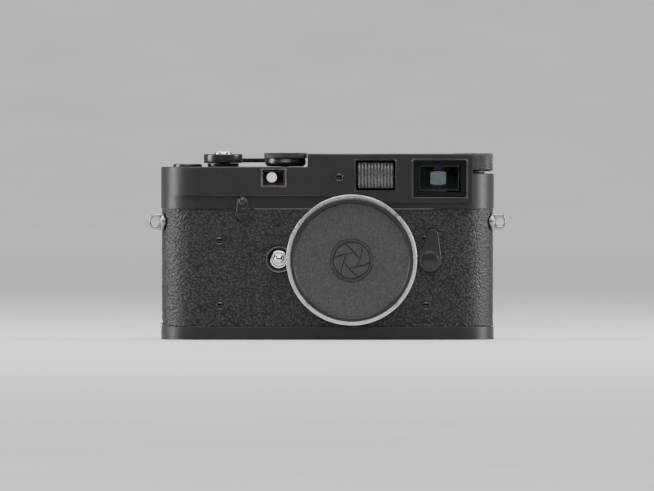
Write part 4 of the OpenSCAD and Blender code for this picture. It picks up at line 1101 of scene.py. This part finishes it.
def make_shutter_dial():
    low, high, middle, radius = round_part("shutter_dial")
    top = high.z
    band_low = -2.2
    profile = [
        (1.5, low.z - top), (1.5, -5.7), (7.3, -5.7), (7.6, -5.6), (8.1, -5.05), (8.45, -4.7), (8.55, -4.45),
        (8.35, -4.35), (8.35, -4.1), (8.6, -4.0), (8.5, -3.6), (8.25, -2.75), (8.2, -2.45), (8.3, -2.35),
        (radius - 0.2, band_low - 0.1), *[(radius, band_low + 0.02 + 1.84 * k / 12) for k in range(13)],
        (radius - 0.1, -0.2), (radius - 0.3, 0.0), (radius - 0.9, 0.0), (radius - 1.1, -0.12), (3.2, -0.12),
        (3.0, 0.0), (1.2, 0.0), (1.0, -0.15), (0.0, -0.15),
    ]
    count = 78
    piece = lathe("shutter_dial_knurled", profile, (middle.x, middle.y, top), UP, count * 6,
                  diamond(count, 0.92, 0.26, (band_low, -0.33)), 28)
    stand_in(piece, "shutter_dial", SMOOTH_PAINT)
    # Painted highlight on the knurl points.
    paint_light_and_shade(piece, RIM_HIGHLIGHT_PAINT, knurl_tops(middle, radius - 0.08, top + band_low, top - 0.34))
    speeds = ["1000", "500", "250", "125", "60", "30", "15", "8", "4", "2", "1", "B"]
    places = around(middle, 5.9, 90, -28, len(speeds), -90)
    digits("shutter_speed_figures", speeds, places, 1.55, top - 0.11, "shutter_dial")


def make_advance():
    low, high, middle, radius = round_part("release_button")
    top = high.z
    profile = [
        (0.0, -2.4), (1.2, -2.4), (1.3, -0.25), (1.55, -0.06), (1.9, 0.0), (2.4, -0.1), (2.95, -0.35),
        (3.4, -0.72), (radius - 0.06, -1.15), (radius, -1.5), (radius, -2.6), (radius - 0.1, -2.8),
        (1.5, -2.8),
        (1.5, low.z - top),
    ]
    piece = lathe("release_button_turned", profile, (middle.x, middle.y, top), UP, 72)
    stand_in(piece, "release_button", CHROME)
    make_collar("hub_collar", middle)
    make_lever(middle)


def make_lever(hub):
    """Hub, cranked arm and finger tip in one, with the shaft and gear below them."""
    low, high = box_mm("advance_lever")
    foot = box_mm("hub_collar")[1].z + 0.1
    rim = foot + 3.8
    radius = hub.x - low.x
    profile = [
        (1.6, foot), (radius - 0.5, foot), (radius - 0.15, foot + 0.12), (radius, foot + 0.45),
        (radius, foot + 1.0),
        (radius - 0.18, foot + 1.1), (radius - 0.18, foot + 1.25), (radius, foot + 1.35), (radius, rim - 0.7),
        (radius - 0.12, rim - 0.3), (radius - 0.4, rim - 0.06), (radius - 0.75, rim), (5.2, rim),
        (5.0, rim - 0.12),
        (4.7, rim - 0.12), (4.5, rim), (4.15, rim), (3.9, rim - 0.2), (3.88, foot + 0.35), (1.6, foot + 0.35),
    ]
    parts = [lathe("hub", profile + profile[:1], (hub.x, hub.y, 0), UP, 144)]
    arm_low, arm_high = foot + 0.2, foot + 2.0
    tip = Vector((-14.5, high.y - 2.6))
    knee = Vector((-27.6, MID_Y + 12.6))
    root = Vector((hub.x + 2, hub.y + 4))
    left, right = [], []
    steps = 24
    for k in range(steps + 1):
        t = k / steps
        place = root * (1 - t) ** 2 + knee * 2 * t * (1 - t) + tip * t * t
        along = ((knee - root) * (1 - t) + (tip - knee) * t).normalized()
        half = 3.9 * (1 - t) ** 2 + 2.8 * 2 * t * (1 - t) + 2.55 * t * t
        side = Vector((-along.y, along.x)) * half
        left.append(tuple(place + side))
        right.append(tuple(place - side))
    heading = math.degrees(math.atan2(along.y, along.x))
    end = arc(tip, 2.55, heading - 90, heading + 90, 20)
    outline = right + end[1:-1] + left[::-1]
    parts.append(plate("arm", outline, arm_low, arm_high, 0.4, facing_up))
    parts.append(plate("tip", arc(tip, 2.5, 0, 354, 59), arm_low + 0.5, arm_high + 1.15, 0.5, facing_up))
    lever = joined("advance_lever_finished", parts)
    stand_in(lever, "advance_lever", SMOOTH_PAINT)
    kept_below("advance_lever", foot - 0.02, STEEL, "advance_shaft_and_gear")


def make_counter():
    _, high, middle, radius = round_part("counter_window")
    deck = high.z - 1.2
    profile = [
        (4.25, deck - 0.9), (4.25, high.z - 0.35), (4.5, high.z - 0.1), (4.8, high.z), (radius - 0.7, high.z),
        (radius - 0.25, high.z - 0.18), (radius, high.z - 0.6), (radius, deck + 0.02),
        (radius - 0.2, deck - 0.05),
        (5.0, deck - 0.05), (5.0, deck - 0.9),
    ]
    ring = lathe("counter_ring", profile + profile[:1], (middle.x, middle.y, 0), UP, 96)
    finish_piece(ring, "camera", SMOOTH_PAINT, ["counter_window"])
    lens = [(0.0, high.z - 0.25), (1.6, high.z - 0.28), (3.0, high.z - 0.4), (4.2, high.z - 0.62),
            (4.22, deck - 0.3), (0.0, deck - 0.3)]
    piece = lathe("counter_glass", lens, (middle.x, middle.y, 0), UP, 72)
    finish_piece(piece, "camera", CLEAR)
    refined("counter_disc", WHITE_DIAL, 0.05)
    words = ["0", "5", "10", "15", "20", "25", "30", "35"]
    places = around(centre_mm("counter_disc"), 4.9, -118, 40, len(words), 90)
    top = box_mm("counter_disc")[1].z
    figures = digits("counter_figures", words, places, 1.7, top + 0.02, "counter_disc")
    figures.data.materials.clear()
    figures.data.materials.append(BLACK_AND_SHADE_PAINT)


# ---------------------------------------------------------------- windows


def window(node):
    low, high = box_mm(node)
    return (low + high) / 2, high - low, low, high


def make_viewfinder():
    middle, size, low, _ = window("viewfinder_bezel")
    glass_mid, glass_size, glass_low, glass_high = window("viewfinder_glass")
    gap = size - glass_size
    band = frame_face_y()
    steps = [
        (0.04, 0.04, 0.25, band + 0.05), (0.04, 0.04, 0.9, band - 0.02), (0.1, 0.1, 1.3, low.y + 0.14),
        (0.3, 0.3, 1.2, low.y), (0.85, 0.85, 1.0, low.y), (1.1, 1.1, 0.9, low.y + 0.16),
        (1.4, 1.4, 0.9, band + 0.5), (1.4, 1.4, 0.8, band + 1.3), (2.4, 2.4, 0.6, band + 1.35),
        (2.5, 2.5, 0.6, band + 1.9), (4.2, 4.0, 0.45, band + 1.95), (4.3, 4.1, 0.45, band + 2.3),
        (gap.x - 0.7, gap.z - 0.7, 0.3, band + 2.35), (gap.x - 0.5, gap.z - 0.5, 0.3, glass_high.y),
        (0.04, 0.04, 0.25, glass_high.y),
    ]
    piece = front_frame("viewfinder_frame", middle, size, steps)
    stand_in(piece, "viewfinder_bezel", SMOOTH_PAINT)
    # Painted shade on the frame's inner walls, deeper than the front ring.
    paint_light_and_shade(piece, BLACK_AND_SHADE_PAINT, lambda p: p.y > low.y + 0.14)
    # Painted highlight on the bezel's front ring.
    paint_light_and_shade(piece, RIM_HIGHLIGHT_PAINT, lambda p: low.y + 0.01 < p.y < band - 0.03)
    rim_paint = paint("finder_glass_rim", (0.02, 0.024, 0.022), (0.034, 0.04, 0.037), 0.35, 0.5)
    near, far = glass_low.y - 0.01, glass_low.y - 0.1
    sight = front_frame("finder_rim", glass_mid, glass_size, [
        (0.5, 0.5, 0.5, near), (0.5, 0.5, 0.5, far), (0.86, 0.86, 0.4, far), (0.86, 0.86, 0.4, near)])
    finish_piece(sight, "camera", rim_paint)
    refined("viewfinder_glass", DARK_GLASS, 0.1)
    make_finder_glints(glass_mid, glass_high.y)


def lens_patch(name, centre, width, height, bulge, y, material):
    """A small upright patch whose top and bottom edges bulge."""
    steps = 14
    run = [-1 + 2 * k / steps for k in range(steps + 1)]
    outline = [(centre[0] + side * t * width / 2, centre[1] + side * (height / 2 + bulge * (1 - t * t)))
               for side in (1, -1) for t in run]
    rows = [[(x, y + d, z) for x, z in outline] for d in (0.0, 0.25)]
    return finish_piece(loft(name, rows), "camera", material)


def make_finder_glints(glass_mid, depth):
    """What the finder shows of the light behind it: a pale window and its blue coating glints."""
    pale = glow("finder_light", (0.66, 0.76, 0.73), 2.2)
    blue = glow("coating_glint", (0.1, 0.08, 0.42), 2.6, (0.045, 0.035, 0.2))
    middle = (glass_mid.x - 0.35, glass_mid.z)
    lens_patch("finder_bright_window", middle, 6.4, 4.7, 0.5, depth + 0.35, pale)
    lens_patch("finder_glint_upper", (middle[0], middle[1] + 3.9), 3.6, 0.7, 0.25, depth + 0.4, blue)
    lens_patch("finder_glint_lower", (middle[0], middle[1] - 3.9), 2.4, 0.35, 0.18, depth + 0.4, blue)


def frame_face_y():
    """Front plane of the window band."""
    return box_mm("rangefinder_bezel")[0].y + 0.15


def make_small_windows():
    band = frame_face_y()
    middle, size, low, high = window("rangefinder_bezel")
    steps = [
        (0.04, 0.04, 0.2, band + 0.05), (0.06, 0.06, 0.7, band - 0.05), (0.25, 0.25, 0.7, low.y),
        (0.8, 0.8, 0.6, low.y), (1.1, 1.1, 0.5, low.y + 0.15), (1.15, 1.15, 0.45, band + 0.6),
        (1.2, 1.2, 0.4, high.y), (0.04, 0.04, 0.2, high.y),
    ]
    piece = front_frame("rangefinder_frame", middle, size, steps)
    rim = paint("window_rim", (0.05, 0.052, 0.05), (0.075, 0.078, 0.074), 0.28)
    stand_in(piece, "rangefinder_bezel", rim)
    refined("rangefinder_glass", DARK_GLASS, 0.1)
    glass_mid, _, glass_low, _ = window("rangefinder_glass")
    disc_r = 2.12
    profile = [(0.0, 0.0), (disc_r - 0.12, 0.0), (disc_r, -0.1), (disc_r, -0.3), (0.0, -0.3)]
    place = (glass_mid.x - 0.75, glass_low.y - 0.06, glass_mid.z + 0.2)
    disc = lathe("range_window_disc", profile, place, FRONT, 48)
    finish_piece(disc, "camera", glow("range_light", (0.6, 0.62, 0.62), 0.25))
    near, far = glass_low.y - 0.02, glass_low.y - 0.1
    inner = front_frame("rangefinder_mask", glass_mid, size, [
        (2.3, 2.3, 0.15, near), (2.3, 2.3, 0.15, far), (2.55, 2.55, 0.12, far), (2.55, 2.55, 0.12, near)])
    finish_piece(inner, "camera", rim)
    make_illumination(band)


def make_illumination(band):
    middle, size, low, high = window("illumination_bezel")
    steps = [
        (0.04, 0.04, 0.2, band + 0.05), (0.06, 0.06, 0.8, band - 0.03), (0.3, 0.3, 0.8, low.y),
        (0.75, 0.75, 0.7, low.y), (1.0, 1.0, 0.6, low.y + 0.15), (1.05, 1.05, 0.5, band + 0.9),
        (1.1, 1.1, 0.4, high.y), (0.04, 0.04, 0.2, high.y),
    ]
    piece = front_frame("illumination_frame", middle, size, steps)
    stand_in(piece, "illumination_bezel", SMOOTH_PAINT)
    glass_mid, glass_size, glass_low, glass_high = window("illumination_glass")
    ribs = 11
    across = 10
    width = glass_size.x - 0.5
    tall = glass_size.z - 0.55
    pitch = width / ribs
    relief = 0.6
    front = glass_low.y + 0.1
    rows = []
    levels = [(-tall / 2, 1.0), (-tall / 2 + 0.12, 0.75), (-tall / 2 + 0.5, 0.0), (0.0, 0.0),
              (tall / 2 - 0.5, 0.0),
              (tall / 2 - 0.12, 0.75), (tall / 2, 1.0)]
    for z, sink in levels:
        row = []
        for k in range(ribs * across + 1):
            t = (k % across) / across
            dome = math.sqrt(max(0.0, 1 - (2 * t - 1) ** 2))
            x = glass_mid.x - width / 2 + pitch * k / across
            row.append((x, front + relief * (1 - dome) + sink * relief * 0.9, glass_mid.z + z))
        rows.append(row)
    points = [p for row in rows for p in row]
    count = len(rows[0])
    base = len(points)
    faces = [(a, a + 1, a + count + 1, a + count)
             for first in range(0, base - count, count) for a in range(first, first + count - 1)]
    points += [(points[k][0], glass_high.y, points[k][2]) for k in (0, count - 1, base - 1, base - count)]
    faces += [
        (base, base + 3, base + 2, base + 1),
        (base, base + 1, *range(count - 1, -1, -1)),
        (base + 2, base + 3, *range(base - count, base)),
        (base, *range(0, base, count), base + 3),
        (base + 2, *range(base - 1, 0, -count), base + 1),
    ]
    ribbed = new_object("illumination_ribs", points, faces, 50)
    s = Shader("ribbed_frost")
    frost = s.noise(900, 2)
    tone = s.ramp(frost, [(0.3, (0.055, 0.055, 0.054)), (0.7, (0.085, 0.0845, 0.083))])
    s.link(tone, s.shader.inputs["Base Color"])
    s.link(s.span(frost, 0.2, 0.34), s.shader.inputs["Roughness"])
    s.bump(frost, 0.01, 0.4)
    s.set(Specular_IOR_Level=0.6, Coat_Weight=0.15, Coat_Roughness=0.12)
    stand_in(ribbed, "illumination_glass", s.material)


# ---------------------------------------------------------------- the rest


def make_back():
    refined("rear_door", PAINT, 0.12, walls=True)
    refined("eyepiece_ring", SMOOTH_PAINT, picks=[(on_outer_rim(centre_mm("eyepiece_ring"), 6), 0.25)])
    refined("eyepiece_lens", CLEAR, 0.15)
    refined("flash_socket", STEEL, picks=[(on_outer_rim(centre_mm("flash_socket"), 3.6), 0.15)])
    low, high, middle, radius = round_part("film_speed_dial")
    profile = [
        (0.0, -0.1), (2.0, -0.1), (2.2, -0.02), (5.6, -0.02), (5.8, -0.25), (6.3, -0.25), (6.5, 0.0),
        (radius - 2.6, 0.0), (radius - 2.4, -0.3), (radius - 1.9, -0.3), (radius - 1.6, -0.1),
        (radius - 0.4, -0.15),
        (radius - 0.1, -0.4), (radius, -0.7), (radius, -1.5), (radius - 0.2, -1.75), (2.0, -1.75),
        (2.0, low.y - high.y),
    ]
    piece = lathe("film_speed_dial_turned", profile, (middle.x, high.y, middle.z), BACK, 60 * 6,
                  teeth(60, 0.18, (-1.55, -0.68)), 28)
    dial_metal = turned("dial_metal", (0.09, 0.088, 0.086), 0.34, middle, (1, 0, 1))
    stand_in(piece, "film_speed_dial", dial_metal)
    pointer = lathe("film_speed_pointer", [(0.0, 0.0), (0.45, 0.0), (0.5, -0.05), (0.5, -0.16), (0.0, -0.16)],
                    (middle.x, high.y, middle.z + 8.0), BACK, 24)
    finish_piece(pointer, "film_speed_dial", ENGRAVING)


def make_shoe():
    shoe_metal = metal("shoe_metal", (0.2, 0.198, 0.195), 0.36, (1, 12, 1), 700)
    refined("accessory_shoe", shoe_metal, 0.12)
    refined("shoe_contact", BRASS, 0.1)
    refined("shoe_screws", STEEL, 0.12)


def on_body_outline(edge):
    """True for edges on the outermost rim of the body, as seen from above."""
    return all(abs(off_outline(vert.co / MM)) < 0.05 for vert in edge.verts)


def make_base():
    # The base plate's rounded outline edges get a painted highlight.
    refined("base_plate", PAINT, highlight_paint=EDGE_HIGHLIGHT_PAINT, picks=[(on_body_outline, 0.28)], walls=True)
    refined("tripod_socket", STEEL, 0.1)
    refined("base_key_hub", STEEL, 0.08)
    refined("base_key_ring", CHROME, 0.1)
    low, high = box_mm("base_catch_pin")
    middle = centre_mm("base_catch_pin")
    radius = 1.9
    profile = [(0.0, 0.0), (radius - 0.5, -0.02), (radius - 0.15, -0.12), (radius, -0.35), (radius, -1.0),
               (0.9, -1.0),
               (0.9, low.x - high.x), (0.0, low.x - high.x)]
    pin = lathe("base_catch_pin_turned", profile, (low.x, middle.y, low.z + radius), (-1, 0, 0), 48)
    stand_in(pin, "base_catch_pin", CHROME)
    refined("base_catch_hook", STEEL, 0.08)


def make_lug(side, node):
    """Pad on the rounded end, neck, and a blade with an eye whose rims are rounded."""
    eye_x, neck_x = 71.5, 67.2
    eye = Vector((side * eye_x, centre_mm(node).y, centre_mm(node).z))
    thick, eye_r, tip_r, shoulder = 2.2, 1.7, 2.4, 3.3
    count = 72
    inner, outer = [], []
    for k in range(count):
        turn = TAU * k / count
        u, v = math.cos(turn), math.sin(turn)
        reach = tip_r * u * u + shoulder * v * v
        if side * u < 0:
            reach = min(shoulder / max(0.3, abs(v)), 3.2 / max(0.3, abs(u)))
        inner.append((eye_r * u, eye_r * v))
        outer.append((reach * u, reach * v))

    def row(share, y):
        return [(eye.x + a[0] + (b[0] - a[0]) * share, eye.y + y, eye.z + a[1] + (b[1] - a[1]) * share)
                for a, b in zip(inner, outer)]

    half = thick / 2
    near = [(0, half - 0.35), (0.12, half - 0.1), (0.35, half), (0.65, half), (0.88, half - 0.12),
            (1, half - 0.4)]
    rows = [row(share, y) for share, y in near] + [row(share, -y) for share, y in reversed(near)]
    blade = loft("blade", rows, 50, caps=False)
    tilt = math.radians(17)
    away = Vector((side * math.cos(tilt), -math.sin(tilt), 0))
    root = Vector((side * END_X, MID_Y, eye.z)) + away * (END_R - 0.7)
    profile = [(0.0, 1.5), (2.6, 1.5), (3.1, 1.42), (3.45, 1.15), (3.6, 0.75), (3.6, 0.0), (0.0, 0.0)]
    pad = lathe("pad", profile, tuple(root), tuple(away), 72)
    neck = lathe("neck", [(0.0, 0.0), (2.0, 0.0), (1.9, 1.0), (1.6, 2.2), (0.0, 2.2)],
                 (side * neck_x, eye.y, eye.z), (side, 0, 0), 48)
    lug = joined(node + "_finished", [blade, pad, neck])
    stand_in(lug, node, LUG_METAL)


def make_front_controls():
    """Screws, rewind release and frame selector, all facing the front."""
    screws = []
    front = box_mm("front_screws")[0].y
    for spot in loose_centres("front_screws"):
        screws += slotted_head(spot.x, spot.z, FACE_Y + 1.0, front, 1.65, 0.5, 0.4, 0.45)
    stand_in(joined("front_screws_finished", screws), "front_screws", SCREW_BLACK)

    front = box_mm("band_screw")[0].y
    middle = centre_mm("band_screw")
    head = slotted_head(middle.x, middle.z, front + 1.0, front, 1.75, 0.45, 0.4, 0.45)
    stand_in(joined("band_screw_finished", head), "band_screw", SCREW_BLACK)

    low, high = box_mm("reverse_lever")
    pivot_r, head_r, pivot_z = 2.7, 2.15, 52.5
    pivot = Vector((low.x + pivot_r, pivot_z))
    head = Vector((pivot.x + 0.15, high.z - head_r))
    outline = two_circles(tuple(pivot), pivot_r, tuple(head), head_r)
    tail_reach = pivot.y - low.z
    lean = math.acos(pivot_r / tail_reach)
    shaped = []
    for u, v in outline:
        off = abs(math.atan2(u - pivot.x, pivot.y - v))
        if v < pivot.y and off < lean:
            reach = pivot_r / math.cos(lean - off)
            away = math.hypot(u - pivot.x, v - pivot.y)
            u, v = pivot.x + (u - pivot.x) * reach / away, pivot.y + (v - pivot.y) * reach / away
        shaped.append((u, v))
    front = FACE_Y - 1.6
    parts = [plate("lever", shaped, -(FACE_Y - 0.3), -front, 0.35, facing_front)]
    dome = [(0.0, 0.72), (0.6, 0.68), (1.1, 0.52), (1.5, 0.27), (1.7, 0.0), (1.7, -0.3), (0.0, -0.3)]
    parts.append(lathe("dome", dome, (head.x, front, head.y), FRONT, 48))
    parts += slotted_head(pivot.x, pivot.y, front + 0.3, front - 0.4, 2.1, 0.5, 0.35, 0.3)
    shaft = rod("shaft", 1.2, 4.5, (pivot.x, front + 0.5, pivot.y), BACK)
    lever = joined("reverse_lever_finished", parts + [shaft])
    stand_in(lever, "reverse_lever", SMOOTH_PAINT)

    low, high = box_mm("frame_selector")
    pivot_r, tip_r = 4.8, 2.45
    pivot = Vector((low.x + pivot_r, low.z + pivot_r))
    tip = Vector((pivot.x + 1.0, high.z - tip_r))
    front = FACE_Y - 1.7
    outline = two_circles(tuple(pivot), pivot_r, tuple(tip), tip_r, 36)
    parts = [plate("selector", outline, -(FACE_Y - 0.3), -front, 0.4, facing_front)]
    boss = [(0.0, 0.3), (3.1, 0.3), (3.3, 0.24), (3.4, 0.08), (3.4, -0.15), (3.7, -0.15), (3.75, 0.02),
            (3.95, 0.06), (4.1, 0.0), (4.12, -0.2), (0.0, -0.2)]
    parts.append(lathe("boss", boss, (pivot.x, front, pivot.y), FRONT, 96))
    shaft = rod("shaft", 1.5, 5.0, (pivot.x, FACE_Y - 0.5, pivot.y), BACK)
    selector = joined("frame_selector_finished", parts + [shaft])
    stand_in(selector, "frame_selector", SMOOTH_PAINT)

    def on_boss_rim(p):
        return 3.6 < math.hypot(p.x - pivot.x, p.z - pivot.y) < 4.15 and p.y < front - 0.03

    # Painted highlight on the boss rim.
    paint_light_and_shade(selector, RIM_HIGHLIGHT_PAINT, on_boss_rim)


def make_fittings():
    band = frame_face_y()

    long, band_foot, deck_foot = 5 * MM, 57 * MM, 60 * MM

    def on_band(edge):
        flush = all(abs(vert.co.y / MM - band) < 0.05 for vert in edge.verts)
        return flush and edge.calc_length() > long and edge.verts[0].co.z > band_foot

    def on_deck(edge):
        level = abs(edge.verts[0].co.z - edge.verts[1].co.z) < 0.02 * MM
        return level and edge.verts[0].co.z > deck_foot and on_body_outline(edge)

    def long_edge(edge):
        return edge.calc_length() > long and edge.verts[0].co.z > deck_foot

    picks = [(on_band, 0.34), (on_deck, 0.28), (long_edge, 0.15)]
    # The cover's rounded edges get a painted highlight.
    refined("top_cover", PAINT, highlight_paint=EDGE_HIGHLIGHT_PAINT, picks=picks, walls=True)
    make_lug(-1, "strap_lug_left")
    make_lug(1, "strap_lug_right")
    make_front_controls()


def dress_inside():
    dress(CASTING, "finder_block")
    dress(STEEL, "film_rails", "film_sprocket", "rewind_shaft", "rewind_fork", "rangefinder_roller",
          "door_hinge_pin")
    dress(BRASS, "curtain_drums", "gear_plate", "rangefinder_arm")
    dress(SMOOTH_PAINT, "body_shell", "film_chassis")
    dress(BLACK_AND_SHADE_PAINT, "shutter_crate", "pressure_plate")
    dress(CLOTH, "shutter_curtain")
    dress(BLACK_PLASTIC, "takeup_spool")
    dress(CLEAR, "finder_prism", "range_prism")


# ---------------------------------------------------------------- studio


def make_stage():
    """A pale floor that sweeps up into the backdrop."""
    s = Shader("pale_floor")
    tone = s.noise(9, 3)
    s.link(s.ramp(tone, [(0.3, (0.6, 0.6, 0.595)), (0.7, (0.64, 0.64, 0.635))]), s.shader.inputs["Base Color"])
    s.set(Roughness=0.75, Specular_IOR_Level=0.25)
    s.bump(s.noise(260, 2), 0.05, 0.3)
    half, front, bend, radius, tall = 14000, -14000, 6000, 3000, 6000
    path = [(front, 0.0), (bend, 0.0)]
    path += [(bend + radius * math.sin(a), radius * (1 - math.cos(a)))
             for a in np.linspace(0.0, math.pi / 2, 24)[1:]]
    path.append((bend + radius, tall))
    points = [(x, y, z) for y, z in path for x in (-half, half)]
    faces = [(2 * k, 2 * k + 1, 2 * k + 3, 2 * k + 2) for k in range(len(path) - 1)]
    floor = new_object("floor", points, faces, 60)
    floor.data.materials.append(s.material)


def softbox(name, place, target, width, height, power):
    light = bpy.data.lights.new(name, "AREA")
    light.shape = "RECTANGLE"
    light.size = width
    light.size_y = height
    light.energy = power
    lamp = bpy.data.objects.new(name, light)
    lamp.location = place
    aim = Vector(target) - Vector(place)
    lamp.rotation_euler = aim.to_track_quat("-Z", "Y").to_euler()
    bpy.context.scene.collection.objects.link(lamp)


def make_lights():
    world = bpy.data.worlds.new("studio")
    world.use_nodes = True
    tree = world.node_tree
    where = tree.nodes.new("ShaderNodeTexCoord")
    parts = tree.nodes.new("ShaderNodeSeparateXYZ")
    shade_of = tree.nodes.new("ShaderNodeMapRange")
    set_range(shade_of, -0.9, 0.2, 0.16, 0.7)
    tree.links.new(where.outputs["Generated"], parts.inputs["Vector"])
    tree.links.new(parts.outputs["Y"], shade_of.inputs["Value"])
    tree.links.new(shade_of.outputs["Result"], tree.nodes["Background"].inputs["Strength"])
    bpy.context.scene.world = world
    middle = (0, 0, 0.04)
    softbox("left_strip", (-1.1, -0.05, 0.2), middle, 0.3, 1.2, 26)
    softbox("right_strip", (1.1, -0.05, 0.2), middle, 0.3, 1.2, 26)
    softbox("overhead", (0.0, -0.45, 1.3), middle, 1.4, 0.5, 20)
    softbox("front_floor", (0.0, -2.7, 1.8), (0, -2.5, 0), 2.6, 1.0, 60)
    softbox("backdrop", (0.0, 5.0, 5.0), (0, 5.01, 0), 9.0, 7.0, 420)


def make_camera():
    lens_mm, sensor_mm = 600, 36
    view_w = 0.2712
    elevation = math.radians(0.5)
    data = bpy.data.cameras.new("camera_view")
    data.lens = lens_mm
    data.sensor_width = sensor_mm
    data.clip_start = 0.05
    away = view_w * lens_mm / sensor_mm
    target = Vector((-0.0002, MID_Y * MM, 0.0389))
    eye = target + Vector((0, -math.cos(elevation), math.sin(elevation))) * away
    view = bpy.data.objects.new("camera_view", data)
    view.location = eye
    view.rotation_euler = (target - eye).to_track_quat("-Z", "Y").to_euler()
    bpy.context.scene.collection.objects.link(view)
    bpy.context.scene.camera = view


make_camera()
make_lights()
make_stage()
make_covering()
make_door_covering()
make_fittings()
make_mount()
make_body_cap()
make_advance()
make_shutter_dial()
make_counter()
make_rewind_knob()
make_viewfinder()
make_small_windows()
make_back()
make_shoe()
make_base()
dress_inside()
